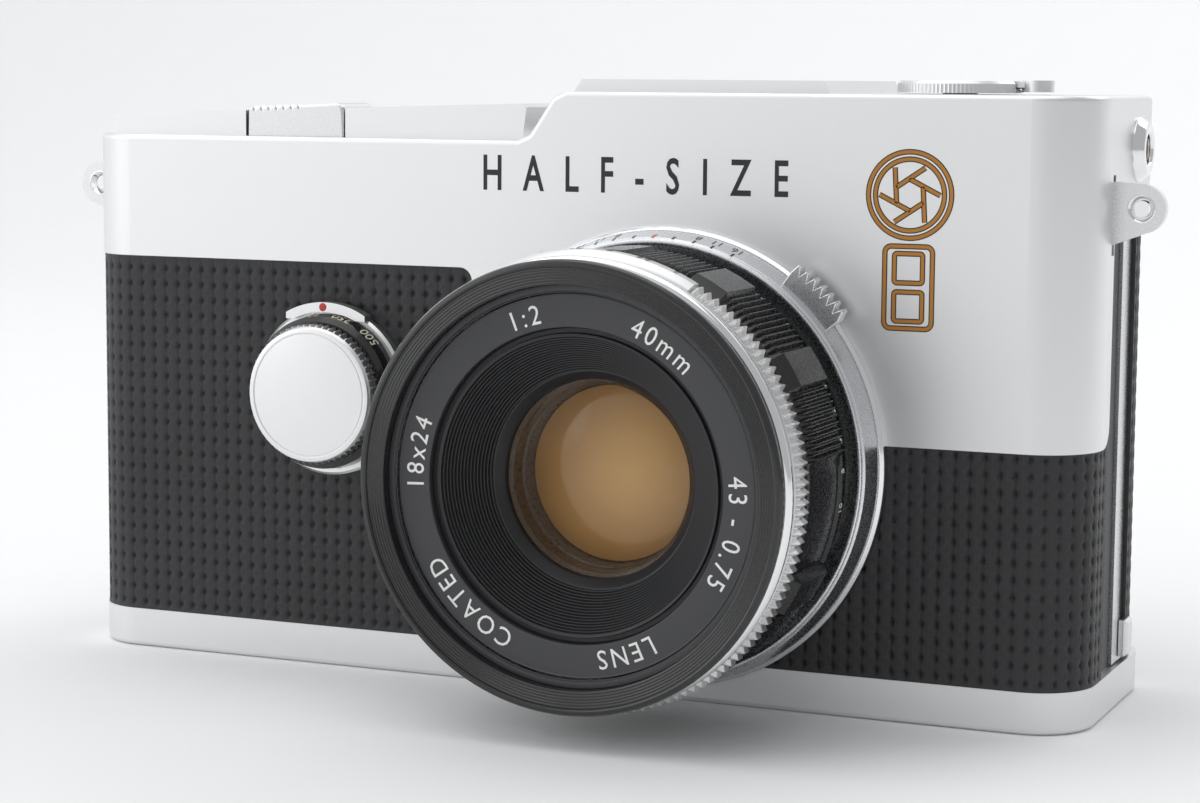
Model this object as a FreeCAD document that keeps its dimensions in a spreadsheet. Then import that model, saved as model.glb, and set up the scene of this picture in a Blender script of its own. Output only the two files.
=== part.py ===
import FreeCAD, Part
import math
import os
from types import SimpleNamespace

import Sketcher

# A half frame single-lens reflex camera, standing on its base plate, in millimetres.
# +Z is up, the lens looks towards -Y, and the origin is the mouth of the tripod socket,
# straight below the lens axis and half way through the depth of the body.

doc = FreeCAD.newDocument("half_frame_camera")

# ---------------------------------------------------------------- driving dimensions

SIZES = {
    # body
    "body_width": 127.0,
    "body_depth": 32.2,
    "axis_offset": 14.8,
    "axis_height": 28.2,
    "front_corner": 7.0,
    "back_corner": 5.0,
    "cover_wall": 1.0,
    "base_height": 4.8,
    "base_wall": 1.4,
    "low_deck": 63.9,
    "high_deck": 69.6,
    "plateau_rise": 1.4,
    "step_left": 18.9,
    "step_right": 12.8,
    "shoulder_low": 66.4,
    "shoulder_high": 68.1,
    "shoulder_setback": 1.6,
    "leather_top": 49.0,
    "leather_thick": 0.9,
    "apron_bottom": 31.0,
    "apron_side": 24.5,
    "apron_wrap": 10.3,
    "apron_corner": 2.5,
    "casting_top": 60.5,
    # back door
    "door_start": 17.5,
    "door_top": 55.3,
    "door_corner": 9.0,
    "door_wall": 1.0,
    "door_gap": 0.2,
    "door_leather_start": 21.8,
    "hinge_radius": 1.2,
    "casting_inset": 0.7,
    "plate_thick": 1.2,
    # film path
    "film_plane": 27.95,
    "gate_width": 18.0,
    "gate_height": 24.0,
    "rewind_side": 29.5,
    "rewind_depth": 15.2,
    "cassette_radius": 12.6,
    "take_up_side": 62.0,
    "take_up_depth": 15.5,
    "take_up_radius": 7.0,
    "sprocket_side": 44.5,
    "sprocket_depth": 20.8,
    "sprocket_radius": 6.2,
    "chamber_floor": 6.0,
    "chamber_top": 54.0,
    # mirror box and shutter
    "box_left": 10.2,
    "box_right": 14.0,
    "box_half_height": 15.0,
    "box_wall": 0.8,
    "box_end": 21.6,
    "mirror_width": 20.6,
    "mirror_height": 22.0,
    "mirror_pivot_side": 10.2,
    "mirror_pivot_depth": 20.0,
    "disc_radius": 25.0,
    "disc_side": 12.6,
    "disc_depth": 24.0,
    "disc_thick": 0.4,
    # lens, outside radii and distances ahead of the body's front
    "flange_rim": 3.1,
    "seat_wall": 3.3,
    "unlock_side": 3.1,
    "unlock_drop": 8.0,
    "unlock_radius": 2.2,
    "lever_inset": 4.6,
    "lever_reach": 2.0,
    "flange_front": 1.2,
    "scale_radius": 25.0,
    "scale_front": 5.0,
    "barrel_radius": 20.0,
    "barrel_bore": 18.9,
    "focus_wall": 4.6,
    "focus_rear": 7.0,
    "focus_front": 19.4,
    "aperture_radius": 25.0,
    "aperture_rear": 21.6,
    "aperture_front": 24.5,
    "bead_radius": 24.4,
    "bead_rear": 24.8,
    "rim_rear": 26.5,
    "rim_radius": 24.2,
    "rim_bore": 21.5,
    "rim_front": 28.6,
    "rim_floor": 26.2,
    "name_bore": 16.9,
    "glass_radius": 10.8,
    "glass_edge": 19.4,
    "head_radius": 18.6,
    "head_bore": 16.6,
    "blade_thick": 0.12,
    "blade_pitch": 0.24,
    "blade_start": 10.4,
    # controls
    "dial_side": 42.9,
    "dial_height": 33.7,
    "dial_radius": 8.3,
    "dial_front": 6.3,
    "dial_base_radius": 10.1,
    "button_left": 55.4,
    "button_right": 42.3,
    "button_gap": 0.25,
    "button_top": 68.0,
    "rewind_radius": 7.0,
    "crank_reach": 10.6,
    "crank_knob": 1.8,
    "sync_depth": 21.0,
    "sync_height": 63.6,
    "sync_radius": 3.7,
    "lug_reach": 5.8,
    "lug_depth": 9.5,
    "lug_height": 57.4,
    "lug_hole": 1.5,
    "eyepiece_side": 38.0,
    "eyepiece_height": 61.6,
    # fits
    "running_gap": 0.08,
    "ring_gap": 0.3,
    "socket_radius": 2.55,
    "socket_length": 5.0,
}

sheet = doc.addObject("Spreadsheet::Sheet", "sizes")
for row, (size_name, number) in enumerate(SIZES.items(), 1):
    sheet.set("A%d" % row, size_name)
    sheet.set("B%d" % row, str(number))
    sheet.setAlias("B%d" % row, size_name)
doc.recompute()


class Size:
    """A length that knows both its number and the sheet expression that gives it."""

    def __init__(self, number, text):
        self.number = float(number)
        self.text = text

    @staticmethod
    def of(thing):
        return thing if isinstance(thing, Size) else Size(thing, "(%.6f)" % thing)

    def join(self, sign, other, number):
        return Size(number, "(%s %s %s)" % (self.text, sign, other.text))

    def __add__(self, other):
        other = Size.of(other)
        return self.join("+", other, self.number + other.number)

    def __sub__(self, other):
        other = Size.of(other)
        return self.join("-", other, self.number - other.number)

    def __mul__(self, other):
        other = Size.of(other)
        return self.join("*", other, self.number * other.number)

    def __truediv__(self, other):
        other = Size.of(other)
        return self.join("/", other, self.number / other.number)

    def __radd__(self, other):
        return Size.of(other) + self

    def __rsub__(self, other):
        return Size.of(other) - self

    def __rmul__(self, other):
        return Size.of(other) * self

    def __neg__(self):
        return Size.of(0.0) - self

    def __float__(self):
        return self.number


d = SimpleNamespace(**{name: Size(sheet.get(name), "sizes." + name) for name in SIZES})

# ---------------------------------------------------------------- places worked out from them

left = -(d.body_width / 2) - d.axis_offset
right = d.body_width / 2 - d.axis_offset
front = -(d.body_depth / 2)
back = d.body_depth / 2
flange_seat = d.barrel_radius + d.seat_wall
flange_radius = flange_seat + d.flange_rim
focus_radius = d.barrel_radius + d.focus_wall
helicoid_bore = d.barrel_bore + 0.3
barrel_collar = d.barrel_radius + 2.6
focus_lip = focus_radius - 1.4
lever_track = flange_radius - d.lever_inset
lever_tip = flange_radius + d.lever_reach
unlock_at = (-flange_radius - d.unlock_side, d.axis_height - d.unlock_drop)
axis = d.axis_height


def depth(distance):
    """The Y of a plane that lies this far behind the body's front."""
    return front + distance


def ahead(distance):
    """The Y of a plane that lies this far ahead of the body's front."""
    return front - distance


# ---------------------------------------------------------------- ways of making a shape

TURN = {
    "x": FreeCAD.Rotation(FreeCAD.Vector(0, 1, 0), 90),
    "y": FreeCAD.Rotation(FreeCAD.Vector(1, 0, 0), -90),
    "z": FreeCAD.Rotation(),
}


def bind(thing, sizes):
    for name, size in sizes.items():
        thing.setExpression(name, Size.of(size).text)


def base_at(x, y, z):
    return {"Placement.Base.x": x, "Placement.Base.y": y, "Placement.Base.z": z}


def block(name, x, y, z):
    """A box from three (low, high) pairs."""
    part = doc.addObject("Part::Box", name)
    bind(part, {"Length": x[1] - x[0], "Width": y[1] - y[0], "Height": z[1] - z[0]})
    bind(part, base_at(x[0], y[0], z[0]))
    return part


def rod(name, along, centre, start, end, radius):
    """A cylinder along one axis, between two places on it; centre gives the other two."""
    part = doc.addObject("Part::Cylinder", name)
    part.Placement = FreeCAD.Placement(FreeCAD.Vector(), TURN[along])
    bind(part, {"Radius": radius, "Height": end - start})
    where = {
        "x": (start, centre[0], centre[1]),
        "y": (centre[0], start, centre[1]),
        "z": (centre[0], centre[1], start),
    }
    bind(part, base_at(*where[along]))
    return part


def cut(name, base, *tools):
    part = doc.addObject("Part::Cut", name)
    part.Base = base
    part.Tool = tools[0] if len(tools) == 1 else fuse(name + "_tools", *tools)
    return part


def fuse(name, *pieces):
    part = doc.addObject("Part::MultiFuse", name)
    part.Shapes = list(pieces)
    return part


def common(name, one, other):
    part = doc.addObject("Part::MultiCommon", name)
    part.Shapes = [one, other]
    return part


def draw(body, plane, points):
    """A closed sketch of straight lines, each corner held at its two bound distances."""
    sketch = body.newObject("Sketcher::SketchObject", body.Name + "_sketch")
    support = next(part for part in body.Origin.OriginFeatures if part.Role == plane)
    sketch.AttachmentSupport = (support, [""])
    sketch.MapMode = "FlatFace"
    corners = [(Size.of(one), Size.of(other)) for one, other in points]
    spots = [FreeCAD.Vector(float(one), float(other), 0) for one, other in corners]
    count = len(spots)
    for index in range(count):
        line = Part.LineSegment(spots[index], spots[(index + 1) % count])
        sketch.addGeometry(line, False)
    for index in range(count):
        joined = Sketcher.Constraint("Coincident", index, 2, (index + 1) % count, 1)
        sketch.addConstraint(joined)
    for index, corner in enumerate(corners):
        for kind, size, line in (("DistanceX", corner[0], -2), ("DistanceY", corner[1], -1)):
            if float(size) == 0.0:
                sketch.addConstraint(Sketcher.Constraint("PointOnObject", index, 1, line))
                continue
            held = Sketcher.Constraint(kind, -1, 1, index, 1, float(size))
            number = sketch.addConstraint(held)
            sketch.setExpression("Constraints[%d]" % number, size.text)
    return sketch


def turned(name, along, centre, profile):
    """A turned piece. profile is its half section, as (radius, place on the axis) pairs."""
    body = doc.addObject("PartDesign::Body", name)
    plane = "XZ_Plane" if along == "z" else "XY_Plane"
    points = [(place, radius) for radius, place in profile] if along == "x" else profile
    sketch = draw(body, plane, points)
    spin = body.newObject("PartDesign::Revolution", name + "_turned")
    spin.Profile = sketch
    spin.ReferenceAxis = (sketch, ["H_Axis" if along == "x" else "V_Axis"])
    spin.Angle = 360
    body.Tip = spin
    where = {"x": (0.0, centre[0], centre[1]), "y": (centre[0], 0.0, centre[1])}
    bind(body, base_at(*where.get(along, (centre[0], centre[1], 0.0))))
    return body


def prism(name, plane, points, start, end):
    """An outline in the XY, XZ or YZ plane, carried straight from start to end."""
    body = doc.addObject("PartDesign::Body", name)
    sketch = draw(body, plane + "_Plane", points)
    pad = body.newObject("PartDesign::Pad", name + "_pad")
    pad.Profile = sketch
    pad.Reversed = plane == "XZ"
    bind(pad, {"Length": end - start})
    body.Tip = pad
    where = {"XY": (0.0, 0.0, start), "XZ": (0.0, start, 0.0), "YZ": (start, 0.0, 0.0)}
    bind(body, base_at(*where[plane]))
    return body


def rounded(name, base, choices):
    """Fillets: choices pairs a radius with a test that picks the edges by their middle."""
    doc.recompute()
    part = doc.addObject("Part::Fillet", name)
    part.Base = base
    picked = []
    for number, edge in enumerate(base.Shape.Edges, 1):
        run = edge.valueAt(edge.LastParameter) - edge.valueAt(edge.FirstParameter)
        middle = edge.CenterOfMass
        for radius, test in choices:
            if test(middle, run):
                picked.append((number, float(radius), float(radius)))
                break
    part.Edges = picked
    return part


def upright(run):
    return abs(run.z) > 1e-6 and abs(run.x) < 1e-6 and abs(run.y) < 1e-6


def slab(name, inset, z, front_round, back_round, x=None, y=None):
    """A block with the body's outline, set in by inset, with rounded upright corners."""
    x = x or (left + inset, right - inset)
    y = y or (front + inset, back - inset)
    plain = block(name + "_plain", x, y, z)
    middle = (float(y[0]) + float(y[1])) / 2
    choices = [
        (front_round, lambda at, run: upright(run) and at.y < middle),
        (back_round, lambda at, run: upright(run) and at.y > middle),
    ]
    return rounded(name, plain, [pair for pair in choices if float(pair[0]) > 0])


nodes = []


def keep(name, part):
    """Labels a finished piece with its own name, under which it is written out."""
    part.Label = name
    nodes.append(part)
    return part


# ---------------------------------------------------------------- body casting
# Die-cast body: a solid block with the chambers cut into it. Its rear half is narrower,
# so that the door's rims swing clear of it.

reach = 1.0
rewind_at = (d.rewind_side, depth(d.rewind_depth))
take_up_at = (-d.take_up_side, depth(d.take_up_depth))
sprocket_at = (-d.sprocket_side, depth(d.sprocket_depth))
disc_at = (-d.disc_side, axis)
lens_at = (Size.of(0.0), axis)
chamber = (d.chamber_floor, d.chamber_top)
rear_inset = d.cover_wall + d.casting_inset
step_plane = depth(d.door_start) - d.door_gap

casting_front = slab(
    "casting_front", d.cover_wall, (d.base_wall, d.casting_top),
    d.front_corner - d.cover_wall, 0.0,
    y=(front + d.cover_wall, step_plane))
casting_rear = slab(
    "casting_rear", rear_inset, (d.base_height + d.door_gap, d.door_top),
    0.0, d.door_corner - d.door_wall,
    y=(step_plane - reach, depth(d.film_plane)))
mirror_room = block(
    "mirror_room", (-d.box_left, d.box_right),
    (front, depth(d.box_end)), (axis - d.box_half_height, axis + d.box_half_height))
lens_throat = rod("lens_throat", "y", lens_at, front, depth(2.0 + d.cover_wall), d.barrel_radius)
disc_room = rod(
    "disc_room", "y", disc_at, depth(d.disc_depth) - 0.5,
    depth(d.disc_depth) + d.disc_thick + 0.5, d.disc_radius + 0.5)
disc_bore = rod(
    "disc_bore", "y", disc_at, depth(d.disc_depth) - 5.0, depth(d.disc_depth), 1.5 + d.running_gap)
gate_room = block(
    "gate_room", (-(d.gate_width / 2) - 6.0, d.gate_width / 2 + 4.0),
    (depth(d.film_plane) - 2.6, depth(d.film_plane) + reach),
    (axis - d.gate_height / 2 - 5.0, axis + d.gate_height / 2 + 5.0))
cassette_room = rod("cassette_room", "z", rewind_at, *chamber, d.cassette_radius)
cassette_mouth = block(
    "cassette_mouth",
    (d.rewind_side - d.cassette_radius, d.rewind_side + d.cassette_radius),
    (depth(d.rewind_depth), depth(d.film_plane) + reach), chamber)
take_up_room = rod("take_up_room", "z", take_up_at, *chamber, d.take_up_radius + 4.0)
take_up_mouth = block(
    "take_up_mouth",
    (-d.take_up_side - d.take_up_radius - 4.0, -d.take_up_side + d.take_up_radius + 4.0),
    (depth(d.take_up_depth), depth(d.film_plane) + reach), chamber)
sprocket_room = rod("sprocket_room", "z", sprocket_at, *chamber, d.sprocket_radius + 0.8)
sprocket_mouth = block(
    "sprocket_mouth",
    (-d.sprocket_side - d.sprocket_radius - 0.8, -d.sprocket_side + d.sprocket_radius + 0.8),
    (depth(d.sprocket_depth), depth(d.film_plane) + reach), chamber)
spool_bore = rod(
    "spool_bore", "z", take_up_at, d.base_wall + 1.0, d.casting_top + reach, 2.0 + d.running_gap)
sprocket_bore = rod(
    "sprocket_bore", "z", sprocket_at, d.base_wall - reach, d.casting_top + reach,
    1.5 + d.running_gap)
rewind_bore = rod(
    "rewind_bore", "z", rewind_at, d.chamber_top - reach, d.casting_top + reach,
    3.6 + d.running_gap)
dial_bore = rod(
    "dial_bore", "y", (-d.dial_side, d.dial_height), front, depth(5.5), 1.5 + d.running_gap)
finder_room = block(
    "finder_room", (d.box_right - 1.2, d.box_right + 2.4),
    (depth(2.2), depth(13.0)), (axis - 12.0, d.casting_top + reach))
prism_room = block(
    "prism_room", (d.box_right - 1.2, right - 4.0),
    (depth(2.2), depth(10.5)), (d.chamber_top + 2.0, d.casting_top + reach))
eye_room = block(
    "eye_room", (d.eyepiece_side - 4.2, right - 4.0),
    (depth(2.2), back), (d.chamber_top + 2.0, d.casting_top + reach))
release_bore = rod(
    "release_bore", "z", (-(d.button_left + d.button_right) / 2, depth(6.0)),
    d.casting_top - 4.0, d.casting_top + reach, 2.0 + d.running_gap)
unlock_bore = rod(
    "unlock_bore", "y", unlock_at, front, depth(6.0), d.unlock_radius + d.running_gap)
hinge_at = (left + d.hinge_radius + 0.6, depth(d.door_start) + 2.0)
hinge_room = rod(
    "hinge_room", "z", hinge_at, d.base_height, d.door_top + d.door_gap, d.hinge_radius + 1.2)
bush_room = rod(
    "bush_room", "z", (0.0, 0.0), d.base_wall, d.socket_length + 1.0, 5.0)
rewind_button_at = (Size.of(-30.0), Size.of(2.0))
base_button_room = rod(
    "base_button_room", "z", rewind_button_at, d.base_wall, 5.2, 2.4)
screw_places = [(left + 8.0, 0.0), (right - 8.0, 8.0), (right - 8.0, -8.0)]
screw_rooms = [
    rod("screw_room_%d" % number, "z", place, d.base_wall, 4.4, 0.9)
    for number, place in enumerate(screw_places)]
flange_screw_places = [
    (21.3 * math.cos(math.radians(turn)), 21.3 * math.sin(math.radians(turn)))
    for turn in (45, 135, 225, 315)]
flange_screw_rooms = [
    rod("flange_screw_room_%d" % number, "y", (across, axis + up),
        front + d.cover_wall, depth(3.6), 0.7)
    for number, (across, up) in enumerate(flange_screw_places)]
casting = cut(
    "casting", fuse("casting_block", casting_front, casting_rear),
    mirror_room, lens_throat, disc_room, disc_bore, gate_room, cassette_room, cassette_mouth,
    take_up_room, take_up_mouth, sprocket_room, sprocket_mouth, spool_bore, sprocket_bore,
    rewind_bore, dial_bore, finder_room, prism_room, eye_room, release_bore, unlock_bore,
    hinge_room, bush_room, base_button_room, *screw_rooms, *flange_screw_rooms)
keep("body_casting", casting)

# ---------------------------------------------------------------- top cover
# Drawn shell with a low deck, a step, a high deck, a raised plateau over the finder and
# an apron that comes down beside the lens and wraps round the right-hand corner.

step_mid = (d.step_left + d.step_right) / 2
silhouette = [
    (left, d.apron_bottom), (left, d.low_deck), (-d.step_left, d.low_deck),
    (-d.step_left + 1.6, d.low_deck + 0.7), (-step_mid, (d.low_deck + d.high_deck) / 2),
    (-d.step_right - 1.6, d.high_deck - 0.7), (-d.step_right, d.high_deck),
    (right, d.high_deck), (right, d.apron_bottom)]
cover_plain = prism("cover_plain", "XZ", silhouette, front, back)


def cover_upright(at, run):
    return upright(run) and (at.x < float(left) + 1 or at.x > float(right) - 1)


cover_posts = rounded("cover_posts", cover_plain, [
    (d.front_corner, lambda at, run: cover_upright(at, run) and at.y < 0),
    (d.back_corner, lambda at, run: cover_upright(at, run) and at.y > 0)])


def top_rim(at, run):
    """Edges where the decks meet the upright walls."""
    low = at.z > float(d.low_deck) - 0.01
    flank = abs(at.y) > float(back) - 0.01 or at.x < float(left) + 2.2 or at.x > float(right) - 2.2
    return low and flank and abs(run.z) < 6.5


cover_solid = rounded("cover_solid", cover_posts, [(0.6, top_rim)])
hollow_low = slab(
    "hollow_low", d.cover_wall, (0.0, d.low_deck - d.cover_wall),
    d.front_corner - d.cover_wall, d.back_corner - d.cover_wall)
hollow_high = slab(
    "hollow_high", d.cover_wall, (d.casting_top, d.high_deck - d.cover_wall),
    d.front_corner - d.cover_wall, d.back_corner - d.cover_wall,
    x=(-d.step_right + 1.2, right - d.cover_wall))
below_left = block(
    "below_left", (left - reach, -d.apron_side), (front - reach, back + reach),
    (0.0, d.leather_top))
below_back = block(
    "below_back", (left - reach, right + reach), (depth(d.apron_wrap), back + reach),
    (0.0, d.door_top + d.door_gap))
corner_block = block(
    "corner_block", (right - 6.0, right + reach),
    (depth(d.apron_wrap) - d.apron_corner, depth(d.apron_wrap) + reach),
    (d.apron_bottom - reach, d.apron_bottom + d.apron_corner))
corner_round = rod(
    "corner_round", "x",
    (depth(d.apron_wrap) - d.apron_corner, d.apron_bottom + d.apron_corner),
    right - 7.0, right + 2.0, d.apron_corner)
corner_tool = cut("corner_tool", corner_block, corner_round)
flange_hole = rod(
    "flange_hole", "y", lens_at, front - reach, front + d.cover_wall + reach, flange_seat + 0.02)

shoulder = prism("shoulder", "XZ", [
    (left + 3.6, d.low_deck - 0.5), (left + 4.2, d.shoulder_low - 0.5),
    (left + 5.0, d.shoulder_low), (-d.step_left - 0.6, d.shoulder_high),
    (-d.step_left + 0.6, d.shoulder_high - 0.4), (-d.step_left, d.low_deck - 0.5)],
    depth(d.shoulder_setback), back - 1.4)
plateau_front = depth(3.2)
plateau = prism("plateau", "XZ", [
    (-d.step_right - 0.6, d.high_deck - 0.5), (-d.step_right + 0.8, d.high_deck + d.plateau_rise),
    (17.5, d.high_deck + d.plateau_rise), (18.2, d.high_deck - 0.5)],
    plateau_front, back - 3.0)

button_x = (-d.button_left, -d.button_right)
button_y = (depth(d.shoulder_setback), depth(9.4))
notch = block(
    "notch", (button_x[0] - d.button_gap, button_x[1] + d.button_gap),
    (button_y[0] - d.button_gap, button_y[1] + d.button_gap),
    (d.low_deck - 3.0, d.shoulder_high + reach))
notch_front = block(
    "notch_front", (button_x[0] - d.button_gap, button_x[1] + d.button_gap),
    (button_y[0] - reach, button_y[0]), (d.low_deck, d.shoulder_high + reach))
lever_floor = d.low_deck + 0.5
lever_well = fuse(
    "lever_well",
    rod("well_round", "z", take_up_at, lever_floor, d.shoulder_high + reach, 8.6),
    block("well_run", (left - reach, -d.step_left - 2.4),
          (depth(d.take_up_depth), back + reach), (lever_floor, d.shoulder_high + reach)),
    block("well_end", (left - reach, -d.take_up_side),
          (depth(d.take_up_depth) - 4.8, back + reach), (lever_floor, d.shoulder_high + reach)))
spool_hole = rod(
    "spool_hole", "z", take_up_at, d.low_deck - 3.0, d.low_deck + 2.0, 3.0 + d.running_gap)
rewind_hole = rod(
    "rewind_hole", "z", rewind_at, d.high_deck - 3.0, d.high_deck + reach, 3.6 + d.running_gap)
eye_hole = block(
    "eye_hole", (d.eyepiece_side - 5.0, d.eyepiece_side + 5.0), (back - 4.0, back + reach),
    (d.eyepiece_height - 3.6, d.eyepiece_height + 3.6))
sync_hole = rod(
    "sync_hole", "x", (depth(d.sync_depth), d.sync_height), right - 4.0, right + reach, 2.0)

cover_shell = cut(
    "cover_shell", cover_solid, hollow_low, hollow_high, below_left, below_back, corner_tool,
    flange_hole)
cover = cut(
    "cover", fuse("cover_body", cover_shell, shoulder, plateau),
    notch, notch_front, lever_well, spool_hole, rewind_hole, eye_hole, sync_hole)
keep("top_cover", cover)

# ---------------------------------------------------------------- base plate
# Shallow tray that closes the bottom, held by three screws.

base_outer = slab("base_outer", 0.0, (0.0, d.base_height), d.front_corner, d.back_corner)
base_soft = rounded("base_soft", base_outer, [
    (0.7, lambda at, run: at.z < 0.01 and abs(run.z) < 0.01)])
base_hollow = slab(
    "base_hollow", d.cover_wall, (d.base_wall, d.base_height + reach),
    d.front_corner - d.cover_wall, d.back_corner - d.cover_wall)
base_bush_hole = rod("base_bush_hole", "z", (0.0, 0.0), -reach, d.base_height, 6.5)
base_button_hole = rod("base_button_hole", "z", rewind_button_at, -reach, d.base_height, 2.4)
base_screw_holes = [
    cut_tool
    for number, place in enumerate(screw_places)
    for cut_tool in (
        rod("screw_shank_%d" % number, "z", place, -reach, d.base_height, 0.9),
        rod("screw_sink_%d" % number, "z", place, -reach, 0.7, 1.8))]
flange_clearance = rod(
    "flange_clearance", "y", lens_at, front - reach, front + d.cover_wall + reach,
    flange_seat + 0.02)
base = cut("base", base_soft, flange_clearance, base_hollow, base_bush_hole, base_button_hole, *base_screw_holes)
keep("base_plate", base)

base_screws = fuse("base_screw_set", *[
    turned("base_screw_%d" % number, "z", place, [
        (0.0, 0.15), (1.75, 0.15), (1.75, 0.7), (0.85, 0.7), (0.85, 4.3), (0.0, 4.3)])
    for number, place in enumerate(screw_places)])
keep("base_screws", base_screws)

tripod_bush = cut(
    "tripod_bush_body",
    turned("bush_blank", "z", (0.0, 0.0), [
        (0.0, 0.0), (6.4, 0.0), (6.4, d.base_wall), (4.95, d.base_wall),
        (4.95, d.socket_length + 1.0), (0.0, d.socket_length + 1.0)]),
    rod("socket", "z", (0.0, 0.0), -reach, d.socket_length, d.socket_radius))
keep("tripod_bush", tripod_bush)

# ---------------------------------------------------------------- front leatherette
# Embossed skin, glued to the casting and wrapped round both front corners.

skin_inset = d.cover_wall - d.leather_thick


def skin(name, x, z):
    outer = slab(
        name + "_outer", skin_inset, z, d.front_corner - skin_inset, d.back_corner - skin_inset)
    inner = slab(
        name + "_inner", d.cover_wall, (z[0] - reach, z[1] + reach),
        d.front_corner - d.cover_wall, d.back_corner - d.cover_wall)
    shell = cut(name + "_shell", outer, inner)
    zone = block(name + "_zone", x, (front - reach, depth(d.apron_wrap)), z)
    return common(name + "_skin", shell, zone)


skin_hole = rod(
    "skin_hole", "y", lens_at, front - reach, front + 2.0, flange_seat + 0.02)
dial_skin_hole = rod(
    "dial_skin_hole", "y", (-d.dial_side, d.dial_height), front - reach, front + 2.0, 6.0)
unlock_skin_hole = rod(
    "unlock_skin_hole", "y", unlock_at, front - reach, front + 2.0, d.unlock_radius + 0.6)
left_skin = skin("left", (left - reach, -d.apron_side), (d.base_height, d.leather_top))
lower_skin = skin("lower", (-d.apron_side, Size.of(0.0)), (d.base_height, d.apron_bottom))
right_skin = skin("right", (Size.of(0.0), right + reach), (d.base_height, d.apron_bottom))
keep("front_leather_left", cut(
    "leather_left", fuse("left_skins", left_skin, lower_skin),
    skin_hole, dial_skin_hole, unlock_skin_hole))
keep("front_leather_right", cut("leather_right", right_skin, skin_hole))

# ---------------------------------------------------------------- film gate and mirror box

gate_plate = block(
    "gate_plate", (-(d.gate_width / 2) - 6.0, d.gate_width / 2 + 4.0),
    (depth(d.film_plane) - 2.6, depth(d.film_plane) - 0.4),
    (axis - d.gate_height / 2 - 5.0, axis + d.gate_height / 2 + 5.0))
rails = [
    block("rail_%d" % number, (-(d.gate_width / 2) - 6.0, d.gate_width / 2 + 4.0),
          (depth(d.film_plane) - 0.6, depth(d.film_plane)), (low, low + 1.4))
    for number, low in enumerate([
        axis - d.gate_height / 2 - 3.2, axis + d.gate_height / 2 + 1.8])]
gate_window = block(
    "gate_window", (-(d.gate_width / 2), d.gate_width / 2),
    (depth(d.film_plane) - 4.0, depth(d.film_plane) + reach),
    (axis - d.gate_height / 2, axis + d.gate_height / 2))
keep("film_gate_plate", cut("gate", fuse("gate_blank", gate_plate, *rails), gate_window))

# The frame window through the thin web of the casting, ahead of the gate plate.
web_window = block(
    "web_window", (-(d.gate_width / 2) - 0.5, d.gate_width / 2 + 0.5),
    (depth(d.box_end) - reach, depth(d.film_plane)),
    (axis - d.gate_height / 2 - 0.5, axis + d.gate_height / 2 + 0.5))
casting.Tool.Shapes = casting.Tool.Shapes + [web_window]

box_inner_h = d.box_half_height - d.box_wall
box_shell = cut(
    "box_shell",
    block("box_block", (-d.box_left, d.box_right),
          (depth(2.0 + d.cover_wall), depth(d.box_end)),
          (axis - d.box_half_height, axis + d.box_half_height)),
    block("box_room", (d.box_wall - d.box_left, d.box_right - d.box_wall),
          (front, depth(d.box_end) - d.box_wall),
          (axis - box_inner_h, axis + box_inner_h)),
    block("box_window", (-(d.gate_width / 2) - 0.2, d.gate_width / 2 + 0.5),
          (depth(d.box_end) - 2.0, depth(d.box_end) + reach),
          (axis - d.gate_height / 2 - 0.5, axis + d.gate_height / 2 + 0.5)),
    block("box_side", (d.box_right - 2.0, d.box_right + reach),
          (depth(3.6), depth(13.0)), (axis - 11.5, axis + 11.5)))
keep("mirror_box", box_shell)

screen = block(
    "screen", (d.box_right - d.box_wall, d.box_right + 0.4),
    (depth(3.6), depth(13.0)), (axis - 11.5, axis + 11.5))
keep("focusing_screen", screen)


def tilted(name, centre, size, turn_axis, angle):
    """A small plate, turned about one axis through its own centre."""
    plate = block(name, (-size[0] / 2, size[0] / 2), (-size[1] / 2, size[1] / 2),
                  (-size[2] / 2, size[2] / 2))
    doc.recompute()
    shape = plate.Shape.copy()
    doc.removeObject(plate.Name)
    held = doc.addObject("Part::Feature", name)
    held.Shape = shape
    held.Placement = FreeCAD.Placement(
        FreeCAD.Vector(*[float(value) for value in centre]),
        FreeCAD.Rotation(FreeCAD.Vector(*turn_axis), angle))
    return held


finder_z = d.casting_top - 1.6
lower_mirror = block(
    "lower_mirror", (d.box_right + 1.4, d.box_right + 2.2),
    (depth(3.6), depth(12.6)), (axis - 11.5, axis + 11.5))
upper_mirror = tilted(
    "upper_mirror", (d.box_right + 1.6, depth(6.2), finder_z + 2.4),
    (Size.of(0.8), Size.of(7.0), Size.of(5.4)), (0, 1, 0), 45)
keep("finder_mirrors", fuse("finder_mirror_set", lower_mirror, upper_mirror))

eye_x = d.eyepiece_side
prism_low = d.eyepiece_height - 3.8
finder_prism = prism("finder_prism_body", "XY", [
    (eye_x - 3.8, depth(2.6)), (eye_x + 4.2, depth(10.2)), (eye_x - 3.8, depth(10.2))],
    prism_low, prism_low + 7.6)
keep("finder_prism", finder_prism)

eye_frame = cut(
    "eye_frame",
    fuse("eye_frame_blank",
         block("eye_lip", (eye_x - 6.6, eye_x + 6.0), (back, back + 1.2),
               (d.eyepiece_height - 4.8, d.eyepiece_height + 4.8)),
         block("eye_neck", (eye_x - 5.0, eye_x + 5.0), (back - 3.6, back + 0.2),
               (d.eyepiece_height - 3.6, d.eyepiece_height + 3.6))),
    block("eye_bore", (eye_x - 4.2, eye_x + 4.2), (back - 6.0, back + 3.0),
          (d.eyepiece_height - 2.8, d.eyepiece_height + 2.8)))
keep("eyepiece_frame", eye_frame)
keep("eyepiece_glass", block(
    "eye_glass", (eye_x - 4.2, eye_x + 4.2), (back - 2.6, back - 1.2),
    (d.eyepiece_height - 2.8, d.eyepiece_height + 2.8)))

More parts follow.
